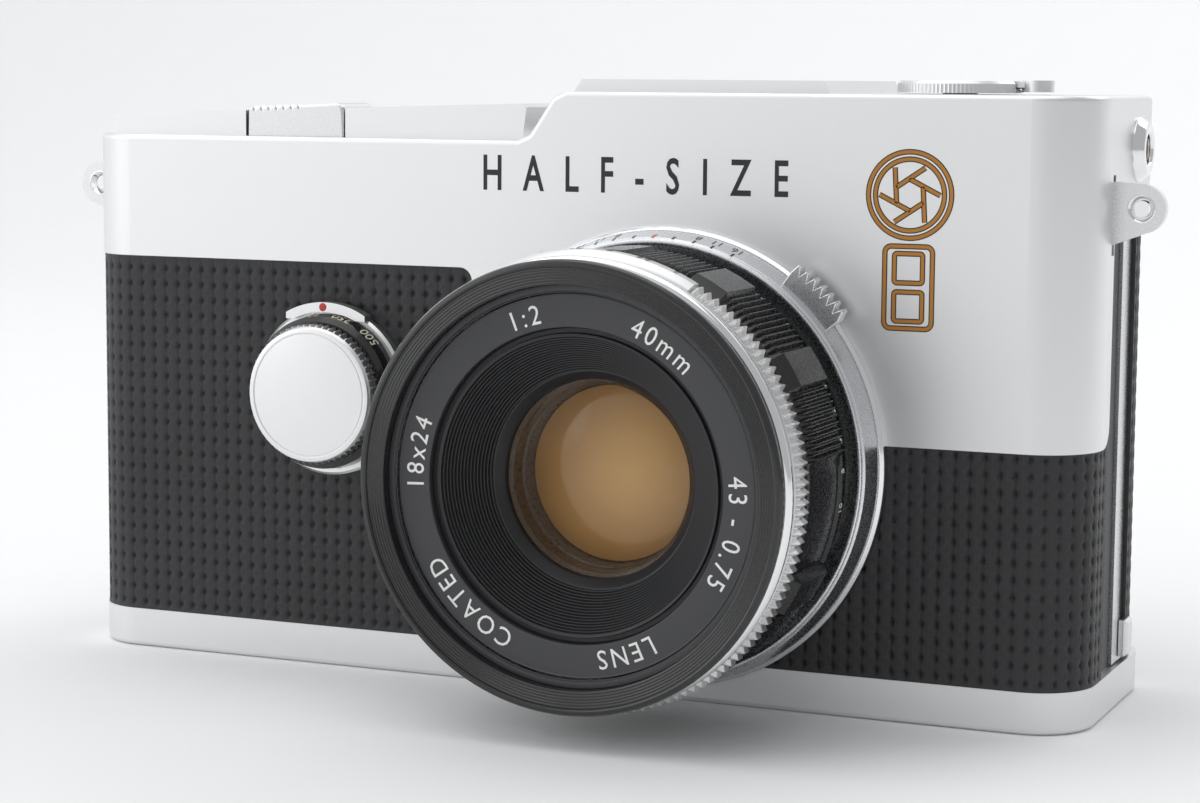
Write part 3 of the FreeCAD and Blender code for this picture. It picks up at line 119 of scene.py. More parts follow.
def surface(name, colour, roughness, metallic=0.0, grain=2500.0, relief=0.0, mottle=0.1,
            rough_swing=0.06, coat=0.0, lathe=None, specular=0.5):
    """A finish whose colour clouds by `mottle` and whose roughness swings with the same
    noise. relief is the height in millimetres of a fine grain, `grain` lumps to the metre.
    lathe = (centre, axis, lines a metre) adds the fine rings that a cutting tool leaves."""
    material = bpy.data.materials.new(name)
    material.use_nodes = True
    tree = material.node_tree
    shader = tree.nodes["Principled BSDF"]
    place = add(tree, "TexCoord", {}).outputs["Object"]
    cloud = add(tree, "TexNoise", {"Vector": place, "Scale": 60.0, "Detail": 3.0})
    darker = tuple(part * (1 - mottle) for part in colour) + (1.0,)
    lighter = tuple(min(1.0, part * (1 + mottle)) for part in colour) + (1.0,)
    blend = add(tree, "MixRGB", {"Fac": cloud.outputs["Fac"], "Color1": darker, "Color2": lighter})
    tree.links.new(blend.outputs["Color"], shader.inputs["Base Color"])
    fine = add(tree, "TexNoise", {"Vector": place, "Scale": grain, "Detail": 2.0})
    swing = add(tree, "MapRange", {
        "Value": fine.outputs["Fac"], "From Min": 0.3, "From Max": 0.7,
        "To Min": max(0.0, roughness - rough_swing), "To Max": roughness + rough_swing})
    tree.links.new(swing.outputs["Result"], shader.inputs["Roughness"])
    shader.inputs["Metallic"].default_value = metallic
    shader.inputs["Coat Weight"].default_value = coat
    shader.inputs["Coat Roughness"].default_value = 0.08
    shader.inputs["Specular IOR Level"].default_value = specular
    height = fine.outputs["Fac"]
    if lathe:
        centre, turn, lines = lathe
        moved = add(tree, "Mapping", {
            "Vector": place, "Location": tuple(-part * MM for part in centre)})
        rings = add(tree, "TexWave", {
            "Vector": moved.outputs["Vector"], "Scale": lines / 20.0 * 2.0, "Distortion": 0.0},
            wave_type="RINGS", rings_direction=turn)
        mixed = add(tree, "MixRGB", {
            "Fac": 0.35, "Color1": rings.outputs["Color"], "Color2": fine.outputs["Color"]})
        height = mixed.outputs["Color"]
    if relief:
        bump = add(tree, "Bump", {"Height": height, "Distance": relief * MM, "Strength": 1.0})
        tree.links.new(bump.outputs["Normal"], shader.inputs["Normal"])
    return material


paper = surface("white_paper", (0.94, 0.94, 0.94), 0.8, mottle=0.01, specular=0.1)
paper_width = 3200.0
sweep = np.array([(-900.0, 0.0), (500.0, 0.0)]
                 + [(500.0 + 500.0 * math.sin(turn), 500.0 - 500.0 * math.cos(turn))
                    for turn in np.linspace(0.05, math.pi / 2, 16)]
                 + [(1000.0, 2200.0)])
across = np.linspace(-paper_width / 2, paper_width / 2, 3)
paper_points = np.stack([
    np.repeat(across, len(sweep)), np.tile(sweep[:, 0], 3), np.tile(sweep[:, 1], 3)], -1)
floor = make_piece("studio_paper", paper_points, grid_faces(3, len(sweep)), paper, outward=False)

world = bpy.data.worlds.new("soft_room")
bpy.context.scene.world = world
world.use_nodes = True
sky = world.node_tree
facing = add(sky, "SeparateXYZ", {"Vector": add(sky, "TexCoord", {}).outputs["Generated"]})
side_light = add(sky, "MapRange", {
    "Value": facing.outputs["X"], "From Min": -0.6, "From Max": 0.1,
    "To Min": 1.12, "To Max": 0.5})
backdrop = sky.nodes["Background"]
backdrop.inputs["Color"].default_value = (0.97, 0.985, 1.0, 1.0)
sky.links.new(side_light.outputs["Result"], backdrop.inputs["Strength"])


def lamp(name, place, aim, size, power):
    """A square soft lamp, `size` metres wide, at place and facing aim, both in metres."""
    light = bpy.data.lights.new(name, "AREA")
    light.shape = "RECTANGLE"
    light.size, light.size_y = size
    light.energy = power
    holder = bpy.data.objects.new(name, light)
    holder.location = place
    holder.rotation_euler = (Vector(aim) - Vector(place)).to_track_quat("-Z", "Y").to_euler()
    bpy.context.scene.collection.objects.link(holder)


body_low, body_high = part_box("top_cover")
aim_at = (0.0, 0.0, 0.03)
lamp("overhead_lamp", (-0.1, -0.05, 0.95), aim_at, (1.2, 0.9), 3.0)
lamp("left_lamp", (-0.95, -0.75, 0.5), aim_at, (0.9, 0.9), 1.7)
lamp("back_lamp", (0.4, 0.75, 0.75), aim_at, (0.8, 0.5), 1.6)

lens_shot = bpy.data.cameras.new("view")
lens_shot.lens = 82.6
lens_shot.sensor_width = 36.0
lens_shot.clip_start = 0.01
camera = bpy.data.objects.new("view", lens_shot)
camera.location = (0.11565, -0.30539, 0.07094)
camera.rotation_euler = Euler([math.radians(turn) for turn in (83.33, -0.43, 23.21)])
bpy.context.scene.collection.objects.link(camera)
bpy.context.scene.camera = camera
bpy.context.scene.view_settings.view_transform = "Standard"

# ---------------------------------------------------------------- body shells
# The top cover and the base plate are drawn brass, bead-blasted and chromed, so they have
# an even satin grain. The alloy casting shows between them and the back door, painted black.

front = body_low.y / MM
left = body_low.x / MM
right = body_high.x / MM
back = body_high.y / MM


def dress(finish, *names):
    """Gives CAD nodes their finish."""
    for name in names:
        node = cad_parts[name]
        node.data.materials.clear()
        node.data.materials.append(finish)


satin_chrome = surface("satin_chrome", (0.80, 0.80, 0.80), 0.40, metallic=1.0, grain=9000.0,
                       relief=0.0022, mottle=0.015, rough_swing=0.05)
black_casting = surface("black_casting", (0.012, 0.012, 0.013), 0.45, grain=3500.0, relief=0.03)
dress(satin_chrome, "top_cover", "base_plate")
dress(black_casting, "body_casting")

# ---------------------------------------------------------------- engraved words
# Plain capitals cut into the front of the top cover and filled with black enamel. They
# only say what size of film picture the camera takes.

black_enamel = surface("black_enamel", (0.012, 0.012, 0.014), 0.35, mottle=0.2)


def lettering(name, words, height, place, finish, body, spacing=1.0, width=1.0, depth=0.04,
              bold=0.0):
    """Letters as thin solids. Each point of the letters is (across, up, out) in millimetres,
    centred, with capitals `height` high, and place turns these three into X, Y and Z."""
    face = bpy.data.curves.new(name, "FONT")
    face.body = words
    face.align_x = "CENTER"
    face.space_character = spacing
    face.resolution_u = 3
    face.extrude = 0.05
    face.offset = bold
    holder = bpy.data.objects.new(name, face)
    bpy.context.scene.collection.objects.link(holder)
    bpy.context.view_layer.update()
    seen = bpy.context.evaluated_depsgraph_get()
    mesh = bpy.data.meshes.new_from_object(holder.evaluated_get(seen))
    bpy.data.objects.remove(holder)
    flat = np.zeros(len(mesh.vertices) * 3, np.float32)
    mesh.vertices.foreach_get("co", flat)
    flat = flat.reshape(-1, 3).astype(float)
    capital = 0.73
    across = flat[:, 0] * height / capital * width
    up = (flat[:, 1] - capital / 2) * height / capital
    out = np.where(flat[:, 2] > 0, depth, -depth)
    placed = np.stack(np.broadcast_arrays(*place(across, up, out)), -1)
    mesh.vertices.foreach_set("co", (placed * MM).astype(np.float32).ravel())
    mesh.name = name
    return finish_piece(name, mesh, finish, body, weld=True)


def on_front(x, z):
    """Letters that stand upright on the body's front, centred on x and z."""
    return lambda across, up, out: (x + across, front - out, z + up)


lettering("word_half_size", "HALF-SIZE", 4.2, on_front(-4.4, 60.3), black_enamel, "root",
          spacing=2.35, width=0.66, bold=0.012)

# ---------------------------------------------------------------- gold ornament
# A line drawing of an iris over a strip with two upright film frames, engraved in the top
# cover and filled with gold lacquer over a dark edge.

gold_fill = surface("gold_fill", (0.46, 0.20, 0.035), 0.38, metallic=0.35, grain=6000.0,
                    relief=0.004, mottle=0.25)
dark_edge = surface("dark_edge", (0.035, 0.022, 0.012), 0.5, mottle=0.3)


def ribbon(path, width, height, closed):
    """A strip of rectangular section along a flat path of (x, z) points on the front.
    Its sides stand half the width to each side, along the mean normal of the two runs."""
    path = np.asarray(path, float)
    if closed:
        before, after = np.roll(path, 1, 0), np.roll(path, -1, 0)
    else:
        before = np.vstack([2 * path[:1] - path[1:2], path[:-1]])
        after = np.vstack([path[1:], 2 * path[-1:] - path[-2:-1]])
    run_in = (path - before) / np.linalg.norm(path - before, axis=1, keepdims=True)
    run_out = (after - path) / np.linalg.norm(after - path, axis=1, keepdims=True)
    normal = np.stack([-(run_in + run_out)[:, 1], (run_in + run_out)[:, 0]], -1)
    normal /= np.linalg.norm(normal, axis=1, keepdims=True)
    stretch = 1 / np.maximum(0.5, np.sum(normal * np.stack([-run_in[:, 1], run_in[:, 0]], -1), 1))
    normal *= stretch[:, None] * width / 2
    rows = []
    for side, out in ((-1, -0.03), (1, -0.03), (1, height), (-1, height)):
        edge = path + side * normal
        rows.append(np.stack([edge[:, 0], np.full(len(path), front - out), edge[:, 1]], -1))
    points = np.stack(rows, 1).reshape(-1, 3)
    faces = grid_faces(len(path), 4, closed, True)
    if not closed:
        last = 4 * (len(path) - 1)
        faces = np.vstack([faces, [[0, 1, 2, 3]], [[last + 3, last + 2, last + 1, last]]])
    return points, faces


def join(parts):
    """Several (points, faces) as one."""
    points, faces, count = [], [], 0
    for some_points, some_faces in parts:
        points.append(some_points)
        faces.append(some_faces + count)
        count += len(some_points)
    return np.vstack(points), np.vstack(faces)


def arc(centre, radius, start, end, steps):
    """Points on a circle, from one angle to another in degrees."""
    turn = np.radians(np.linspace(start, end, steps))
    return np.stack([centre[0] + radius * np.cos(turn), centre[1] + radius * np.sin(turn)], -1)


def rounded_frame(centre, width, height, corner):
    """A rectangle with round corners, as one closed path."""
    x, z = width / 2 - corner, height / 2 - corner
    corners = [(x, z, 0), (-x, z, 90), (-x, -z, 180), (x, -z, 270)]
    return np.vstack([
        arc((centre[0] + dx, centre[1] + dz), corner, turn, turn + 90, 5)
        for dx, dz, turn in corners])


iris_at = (28.4, 58.7)
ornament = [(arc(iris_at, 4.7, 0, 354, 60), True), (arc(iris_at, 3.9, 0, 354, 60), True)]
for blade in range(6):
    start = math.radians(60 * blade)
    end = math.radians(60 * blade + 92)
    ornament.append((np.array([
        (iris_at[0] + 3.45 * math.cos(start), iris_at[1] + 3.45 * math.sin(start)),
        (iris_at[0] + 1.75 * math.cos(end), iris_at[1] + 1.75 * math.sin(end))]), False))
ornament.append((rounded_frame((28.4, 48.6), 5.4, 9.0, 0.7), True))
ornament += [(rounded_frame((28.4, 48.6 + shift), 3.2, 3.2, 0.3), True) for shift in (-2.1, 2.1)]
edge_points, edge_faces = join([ribbon(path, 0.62, 0.012, closed) for path, closed in ornament])
gold_points, gold_faces = join([ribbon(path, 0.36, 0.03, closed) for path, closed in ornament])
make_piece("ornament_edge", edge_points, edge_faces, dark_edge, "root")
make_piece("ornament_gold", gold_points, gold_faces, gold_fill, "root")

# ---------------------------------------------------------------- leatherette
# Black embossed cloth, glued round both front corners and over the whole back door. The
# rollers press a grid of small pits between bundles of fine upright lines, and the pits are
# painted darker by their depth, as painted shade.

leatherette = surface("leatherette", (0.030, 0.030, 0.032), 0.50, grain=5200.0, relief=0.05,
                      mottle=0.3, rough_swing=0.12, specular=0.4)
skin_tree = leatherette.node_tree
skin_shader = skin_tree.nodes["Principled BSDF"]
# Painted shade: the pits' colour is mixed towards near-black by how deep they are pressed.
sunk = add(skin_tree, "Attribute", {}, attribute_name="sunk")
pit_painted_shade = add(skin_tree, "MixRGB", {
    "Fac": sunk.outputs["Fac"], "Color1": skin_shader.inputs["Base Color"].links[0].from_socket,
    "Color2": (0.004, 0.004, 0.005, 1.0)})
skin_tree.links.new(pit_painted_shade.outputs["Color"], skin_shader.inputs["Base Color"])
pit_across = 1.7
pit_up = 1.9
skin_inset = 0.1


def embossed(along, up):
    """Depth of the emboss in millimetres, never above the face: a round pit at each grid
    point, a groove down each column of pits and three fine lines in each bundle."""
    across = (along / pit_across + 0.5) % 1 - 0.5
    height = (up / pit_up + 0.5) % 1 - 0.5
    bend = across + 0.05 * np.sin(2 * np.pi * up / pit_up)
    pit = np.exp(-(across / 0.17) ** 2 - (height / 0.20) ** 2)
    groove = np.exp(-(bend / 0.09) ** 2)
    lines = 0.5 - 0.5 * np.cos(2 * np.pi * 3 * across)
    band = np.exp(-((np.abs(height) - 0.5) / 0.16) ** 2)
    return -(0.34 * pit + 0.05 * groove + 0.04 * (1 - lines) * (1 - 0.6 * band) + 0.05 * band)


def wrapped(along, out, low_x, high_x, face_y, radius, facing):
    """Points of the body's outline by distance along it, which is X on the straight face.
    Past each end the outline turns a quarter circle of this radius and runs straight back.
    facing is -1 for the front and 1 for the back. out lifts a point off the surface."""
    straight_low, straight_high = low_x + radius, high_x - radius
    quarter = radius * math.pi / 2
    past = np.maximum(along - straight_high, 0) + np.maximum(straight_low - along, 0)
    side = np.where(along > straight_high, 1.0, -1.0)
    corner_x = np.where(along > straight_high, straight_high, straight_low)
    turn = np.clip(past, 0, quarter) / radius
    on_face = past <= 0
    middle_y = face_y - facing * radius
    run = np.maximum(past - quarter, 0)
    x = np.where(on_face, along, corner_x + side * (radius + out) * np.sin(turn))
    y = np.where(on_face, face_y + facing * out,
                 middle_y + facing * (radius + out) * np.cos(turn) - facing * run)
    return x, y


def leather_sheet(along_range, up_range, outline, step, holes, skip=None):
    """A sheet of leatherette as a grid over distance along the body and height. Faces
    inside a round hole, or where skip says so, are left out, and the sheet's edge folds
    in behind it."""
    columns = int(round((along_range[1] - along_range[0]) / step[0])) + 1
    rows = int(round((up_range[1] - up_range[0]) / step[1])) + 1
    along, up = np.meshgrid(
        np.linspace(*along_range, columns), np.linspace(*up_range, rows), indexing="xy")
    relief = embossed(along, up)
    edge = np.minimum.reduce([
        along - along_range[0], along_range[1] - along, up - up_range[0], up_range[1] - up])
    relief = relief * np.clip(edge / 0.8, 0, 1)
    for x, z, radius in holes:
        span = np.hypot(along - x, up - z)
        near = np.abs(span - radius) < 0.6 * max(step)
        factor = np.where(near, radius / np.maximum(span, 1e-6), 1.0)
        along, up = x + (along - x) * factor, z + (up - z) * factor
    relief = np.pad(relief, 1, constant_values=-0.8)
    along, up = np.pad(along, 1, mode="edge"), np.pad(up, 1, mode="edge")
    x, y = wrapped(along, relief, *outline)
    points = np.stack([x, y, up], -1).reshape(-1, 3)
    faces = grid_faces(rows + 2, columns + 2)
    middle_along = along.reshape(-1)[faces].mean(1)
    middle_up = up.reshape(-1)[faces].mean(1)
    keep = np.ones(len(faces), bool)
    for x, z, radius in holes:
        keep &= np.hypot(middle_along - x, middle_up - z) > radius
    if skip is not None:
        keep &= ~skip(middle_along, middle_up)
    faces = faces[keep]
    used = np.unique(faces)
    number = np.zeros(len(points), int)
    number[used] = np.arange(len(used))
    return points[used], number[faces], -relief.reshape(-1)[used] / 0.34


def lay_leather(name, sheet, body, stands_for):
    """A sheet of leatherette that remembers how deep each point is pressed, from 0 to 1, which paints shade
    into its pits.
    """
    points, faces, depth = sheet
    piece = make_piece(name, points, faces, leatherette, body, "leatherette", stands_for, sharp=80)
    tint = piece.data.attributes.new("sunk", "FLOAT", "POINT")
    tint.data.foreach_set("value", np.clip(depth, 0, 1).astype(np.float32))


base_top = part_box("base_plate")[1].z / MM
door_low, door_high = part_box("door_leather")
skin_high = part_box("front_leather_left")[1]
right_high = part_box("front_leather_right")[1]
lens_low, lens_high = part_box("filter_ring")
lens_z = (lens_low.z + lens_high.z) / 2 / MM
dial_low, dial_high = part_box("dial_cap")
dial_at = ((dial_low.x + dial_high.x) / 2 / MM, (dial_low.z + dial_high.z) / 2 / MM)
unlock_low, unlock_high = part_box("lens_release")
unlock_at = ((unlock_low.x + unlock_high.x) / 2 / MM, (unlock_low.z + unlock_high.z) / 2 / MM)
front_outline = (left + skin_inset, right - skin_inset, front + skin_inset, 6.9, -1)
apron_side = -24.5
wrap_depth = skin_high.y / MM - front
tail = 6.9 * math.pi / 2 + (wrap_depth - 7.0)
under = 0.3
lay_leather("leather_front_left", leather_sheet(
    (left + 7.0 - tail, 0.0), (base_top, skin_high.z / MM + under), front_outline,
    (0.19, 0.24), [(0.0, lens_z, 24.0), (*dial_at, 8.6), (*unlock_at, 2.7)],
    lambda along, up: (along > apron_side + under) & (up > right_high.z / MM + under)),
    "root", ["front_leather_left"])
lay_leather("leather_front_right", leather_sheet(
    (0.0, right - 7.0 + tail), (base_top, right_high.z / MM + under), front_outline,
    (0.19, 0.24), [(0.0, lens_z, 24.0)]), "root", ["front_leather_right"])

fillet_round = 1.6
corner_at = (apron_side, skin_high.z / MM)
fillet_arc = arc((corner_at[0] - fillet_round, corner_at[1] - fillet_round), fillet_round, 0, 90, 9)
fillet_line = np.vstack([fillet_arc, [(corner_at[0] - fillet_round, corner_at[1] + under)],
                         [(corner_at[0] + under, corner_at[1] + under)],
                         [(corner_at[0] + under, corner_at[1] - fillet_round)]])
fillet_points = np.vstack([
    np.stack([fillet_line[:, 0], np.full(len(fillet_line), place), fillet_line[:, 1]], -1)
    for place in (front + 0.02, front + 0.5)])
count = len(fillet_line)
fillet_mesh = bpy.data.meshes.new("apron_fillet")
fillet_mesh.from_pydata((fillet_points * MM).tolist(), [], [
    list(range(count)), list(range(2 * count - 1, count - 1, -1))]
    + [[at, (at + 1) % count, count + (at + 1) % count, count + at] for at in range(count)])
finish_piece("apron_fillet", fillet_mesh, satin_chrome, "root")

# ---------------------------------------------------------------- back door
# A satin tray, hinged at the left end, whose skin carries its own leatherette. A small
# sprung latch on the right edge holds it; the pressure plate inside it is blackened steel.

door_round = 8.9
door_tail = door_round * math.pi / 2 + (back - door_round - door_low.y / MM)
lay_leather("leather_door", leather_sheet(
    (left + 0.1 + door_round - door_tail, right - 0.1 - door_round + door_tail),
    (door_low.z / MM, door_high.z / MM), (left + 0.1, right - 0.1, back, door_round, 1),
    (0.27, 0.31), []), "back_door", ["door_leather"])
satin_trim = surface("satin_trim", (0.74, 0.74, 0.75), 0.30, metallic=1.0, grain=7000.0,
                     relief=0.0002, mottle=0.03)
bright_steel = surface("bright_steel", (0.56, 0.56, 0.58), 0.28, metallic=1.0, grain=3000.0,
                       relief=0.003, mottle=0.08)
matt_black = surface("matt_black", (0.010, 0.010, 0.011), 0.62, grain=3000.0, relief=0.01)
dress(satin_trim, "door_shell", "door_latch")
dress(bright_steel, "hinge_pin")
dress(matt_black, "pressure_plate")

# ---------------------------------------------------------------- speed dial
# The speed dial's cap is chromed brass with a milled rim and a fine circle cut in its face.
# Under it a black ring carries the shutter speeds, and a fixed ring with a tab points to them.


def softened(profile, radius, steps=3, closed=True):
    """An outline whose corners are cut back by `radius` along both sides, at most 0.4 of a
    side, and bridged by a quadratic curve."""
    outline = np.asarray(profile, float)
    back_run = np.roll(outline, 1, 0) - outline
    next_run = np.roll(outline, -1, 0) - outline
    back_length = np.linalg.norm(back_run, axis=1, keepdims=True)
    next_length = np.linalg.norm(next_run, axis=1, keepdims=True)
    start = outline + back_run / back_length * np.minimum(radius, 0.4 * back_length)
    end = outline + next_run / next_length * np.minimum(radius, 0.4 * next_length)
    if not closed:
        start[[0, -1]] = outline[[0, -1]]
        end[[0, -1]] = outline[[0, -1]]
    step = np.linspace(0, 1, steps + 1)[None, :, None]
    curve = ((1 - step) ** 2 * start[:, None] + 2 * step * (1 - step) * outline[:, None]
             + step ** 2 * end[:, None])
    if not closed:
        middle = curve[1:-1].reshape(-1, 2)
        return np.vstack([outline[:1], middle, outline[-1:]])
    return curve.reshape(-1, 2)


def spun(profile, angles, centre, along="y", shape=None, closed=True):
    """A turned surface: each (radius, place) point of the profile goes round the axis
    through every angle in degrees. shape may change radius and place by angle.
    Along y, place is the distance ahead of the body's front."""
    angle = np.asarray(angles, float)[:, None]
    radius = np.broadcast_to(profile[:, 0], (len(angles), len(profile)))
    place = np.broadcast_to(profile[:, 1], radius.shape)
    if shape:
        radius, place = shape(angle, radius, place)
    cosine, sine = np.cos(np.radians(angle)), np.sin(np.radians(angle))
    one, other = radius * cosine, radius * sine
    if along == "y":
        grid = (centre[0] + one, front - place, centre[1] + other)
    elif along == "z":
        grid = (centre[0] + one, centre[1] + other, place + 0 * one)
    else:
        grid = (place + 0 * one, centre[0] + one, centre[1] + other)
    points = np.stack(np.broadcast_arrays(*grid), -1).reshape(-1, 3)
    return points, grid_faces(len(angles), len(profile), True, closed)


def turned_piece(name, profile, finish, body, slot=None, stands_for=(), centre=(0.0, 0.0),
                 along="y", turns=192, soft=0.1, shape=None, closed=True, angles=None, sharp=35):
    """A turned part from its half section, with its corners softened."""
    outline = softened(profile, soft, closed=closed) if soft else np.asarray(profile, float)
    if angles is None:
        angles = np.linspace(0, 360, turns, endpoint=False)
    points, faces = spun(outline, angles, centre, along, shape, closed)
    return make_piece(name, points, faces, finish, body, slot, stands_for, sharp, weld=True)


def milled(count, crest=0.12, valley=0.12):
    """Angles at the foot and crest of each tooth of a milled rim, and each one's height
    from 0 to 1."""
    pitch = 360.0 / count
    steps = np.array([valley / 2, 0.5 - crest / 2, 0.5 + crest / 2, 1 - valley / 2])
    heights = np.array([0.0, 1.0, 1.0, 0.0])
    angles = (np.arange(count)[:, None] + steps[None, :]) * pitch
    return angles.ravel(), np.tile(heights, count)


gloss_black = surface("gloss_black", (0.008, 0.008, 0.009), 0.22, grain=2200.0, relief=0.002,
                      mottle=0.3, coat=0.3)
satin_cap = surface("satin_cap", (0.80, 0.80, 0.80), 0.34, metallic=1.0, grain=8000.0,
                    relief=0.0012, mottle=0.01)
cream_fill = surface("cream_fill", (0.80, 0.76, 0.60), 0.5, mottle=0.05)
red_enamel = surface("red_enamel", (0.55, 0.015, 0.012), 0.3, mottle=0.1, coat=0.4)
tooth_angles, tooth_heights = milled(62)
tooth_depth = 0.42


def cap_teeth(angle, radius, place):
    """Only the rim's widest part is milled, between its two edges."""
    height = tooth_heights[:, None]
    rim = (radius > 8.0) & (place > 3.95) & (place < 5.75)
    plain = np.where(radius > 8.1, radius - 0.12, radius)
    return np.where(rim, radius - tooth_depth * (1 - height), plain), place


turned_piece("dial_cap_top", [
    (0.0, 3.9), (7.8, 3.9), (7.9, 4.0), (8.32, 4.05), (8.32, 5.6), (8.2, 5.85), (7.9, 6.25),
    (7.5, 6.3), (7.35, 6.3), (7.3, 6.2), (7.24, 6.2), (7.2, 6.28), (0.0, 6.24)],
    satin_cap, "speed_dial", "satin_chrome", ["dial_cap"], dial_at, soft=0.03, closed=False,
    angles=tooth_angles, shape=cap_teeth)
dress(gloss_black, "dial_numbers")
dress(satin_cap, "dial_base")


def on_cone(centre, angle, place, radius, slope=0.0):
    """Letters round a turned part, read from behind it: across runs counter-clockwise seen
    from the front, and up runs ahead. slope is how much the radius grows per millimetre."""
    def put(across, up, out):
        turn = math.radians(angle) + across / radius
        here = radius + slope * up + out
        return (centre[0] + here * np.cos(turn), front - (place + up),
                centre[1] + here * np.sin(turn))
    return put


first_speed, speed_pitch = 308, 26
for turn, speed in enumerate(("B", "1", "2", "4", "8", "15", "30", "60", "125", "250", "500")):
    lettering("speed_" + speed, speed, 1.6,
              on_cone(dial_at, first_speed - speed_pitch * turn, 2.5, 9.22, -0.1),
              cream_fill, "speed_dial", width=0.8, depth=0.02)
dot_centre = (dial_at[0] - 0.2, dial_at[1] + 10.12)
turned_piece("index_dot", [(0.0, 2.1), (0.5, 2.1), (0.5, 2.22), (0.0, 2.24)], red_enamel, "root",
             centre=dot_centre, turns=32, soft=0.03, closed=False)
turned_piece("dial_stop", [(0.0, 3.6), (0.42, 3.6), (0.42, 5.4), (0.0, 5.4)], gloss_black,
             "speed_dial", centre=(dial_at[0] + 8.0, dial_at[1] - 1.3), turns=24, soft=0.05,
             closed=False)

# ---------------------------------------------------------------- shutter release
# A broad chromed key with seven grooves milled across the left part of its top, for grip.

key_low, key_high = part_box("shutter_release")


def carried(outline, plane, start, end, soft):
    """A closed outline carried straight from start to end; near both ends it is drawn in
    towards its middle along a quarter circle of radius soft, and the ends are flat."""
    outline = np.asarray(outline, float)
    before, after = np.roll(outline, 1, 0), np.roll(outline, -1, 0)
    run = after - before
    normal = np.stack([run[:, 1], -run[:, 0]], -1) / np.linalg.norm(run, axis=1, keepdims=True)
    area = np.sum(outline[:, 0] * after[:, 1] - after[:, 0] * outline[:, 1])
    normal *= 1 if area > 0 else -1
    turn = np.linspace(0, np.pi / 2, 4)
    inset = soft * (1 - np.sin(turn))
    rise = soft * (1 - np.cos(turn))
    stations = np.concatenate([start + rise, (end - rise)[::-1]])
    insets = np.concatenate([inset, inset[::-1]])
    rings = outline[None] - normal[None] * insets[:, None, None]
    level = np.broadcast_to(stations[:, None], rings.shape[:2])
    order = {"y": (rings[..., 0], level, rings[..., 1]),
             "z": (rings[..., 0], rings[..., 1], level),
             "x": (level, rings[..., 0], rings[..., 1])}[plane]
    points = np.stack(order, -1).reshape(-1, 3)
    return points, grid_faces(len(stations), len(outline), False, True), len(outline)


def solid_piece(name, outline, plane, start, end, soft, finish, body, stands_for=(),
                sharp=14):
    """A carried outline with its two flat ends closed."""
    points, faces, count = carried(outline, plane, start, end, soft)
    mesh = bpy.data.meshes.new(name)
    ends = [list(range(count)), list(range(len(points) - count, len(points)))[::-1]]
    mesh.from_pydata((points * MM).tolist(), [], faces.tolist() + ends)
    return finish_piece(name, mesh, finish, body, stands_for, sharp)


key_left, key_right = key_low.x / MM, key_high.x / MM
key_top = key_high.z / MM
key_bottom = 62.2
key_fall = 0.6 / (key_right - key_left)
groove_pitch = 1.02
grooves = [key_left + 0.95 + groove_pitch * number for number in range(7)]
key_outline = [(key_left, key_bottom), (key_left, key_top - 0.9), (key_left + 0.25, key_top - 0.62)]
for spot in grooves:
    rise = key_top - 0.6 + key_fall * (spot - key_left)
    key_outline += [(spot - 0.22, rise), (spot, rise - 0.36), (spot + 0.2, rise)]
key_outline += [(key_right - 1.0, key_top - 0.05), (key_right - 0.45, key_top - 0.18),
                (key_right - 0.12, key_top - 0.5), (key_right, key_top - 1.1),
                (key_right, key_bottom)]
solid_piece("release_key", key_outline, "y", key_low.y / MM, key_high.y / MM, 0.35, satin_trim,
            "shutter_release", ["shutter_release"])

# ---------------------------------------------------------------- advance lever and counter
# The stamped lever lies in a well behind the shutter key. The frame counter is a black dial
# in its hub, with white figures and a mark every frame.

dress(satin_trim, "advance_lever")
dress(gloss_black, "frame_counter")
white_fill = surface("white_fill", (0.85, 0.85, 0.83), 0.5, mottle=0.03)
hub_low, hub_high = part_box("frame_counter")
hub_at = ((hub_low.x + hub_high.x) / 2 / MM, (hub_low.y + hub_high.y) / 2 / MM)
hub_top = hub_high.z / MM


def on_disc(centre, angle, radius, level):
    """Letters that lie flat on a disc, their tops away from its middle."""
    turn = math.radians(angle)

    def put(across, up, out):
        reach = radius + up
        return (centre[0] + reach * math.cos(turn) + across * math.sin(turn),
                centre[1] + reach * math.sin(turn) - across * math.cos(turn), level + out)
    return put


frame_count = 72
frame_pitch = 360 // frame_count
for number in range(0, frame_count, 12):
    lettering("count_%d" % number, str(number), 1.1,
              on_disc(hub_at, 90 - frame_pitch * number, 4.1, hub_top),
              white_fill, "frame_counter", width=0.85, depth=0.015)
tick_parts = []
for number in range(frame_count):
    turn = math.radians(90 - frame_pitch * number)
    ends = [(hub_at[0] + reach * math.cos(turn), hub_at[1] + reach * math.sin(turn))
            for reach in (5.15 if number % 6 else 4.95, 5.7)]
    strip, strip_faces = ribbon(ends, 0.10, 0.015, False)
    flat_tick = np.stack([strip[:, 0], strip[:, 2], hub_top + (front - strip[:, 1])], -1)
    tick_parts.append((flat_tick, strip_faces))
make_piece("count_marks", *join(tick_parts), white_fill, "frame_counter")

# ---------------------------------------------------------------- rewind knob and crank
# A low milled drum on the high deck. Its crank folds into a slot across the top, and a
# spinning knob stands at the crank's end.

dress(satin_cap, "rewind_knob", "rewind_crank")
dress(bright_steel, "rewind_sleeve", "rewind_shaft")
drum_low, drum_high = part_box("rewind_knob")
drum_at = ((drum_low.x + drum_high.x) / 2 / MM, (drum_low.y + drum_high.y) / 2 / MM)
drum_angles, drum_teeth = milled(96)
in_slot = np.abs(np.sin(np.radians(drum_angles))) < 1.75 / 7.0
band_top = np.where(in_slot, drum_low.z / MM + 0.35, drum_high.z / MM - 0.3)


def drum_shape(angle, radius, place):
    """Teeth stand 0.1 proud of the drum, and the band is low where the slot crosses it."""
    radius = np.where(radius > 6.9, radius + 0.1 * drum_teeth[:, None], radius)
    place = np.where(place > drum_low.z / MM + 0.2, band_top[:, None], place)
    return radius, place


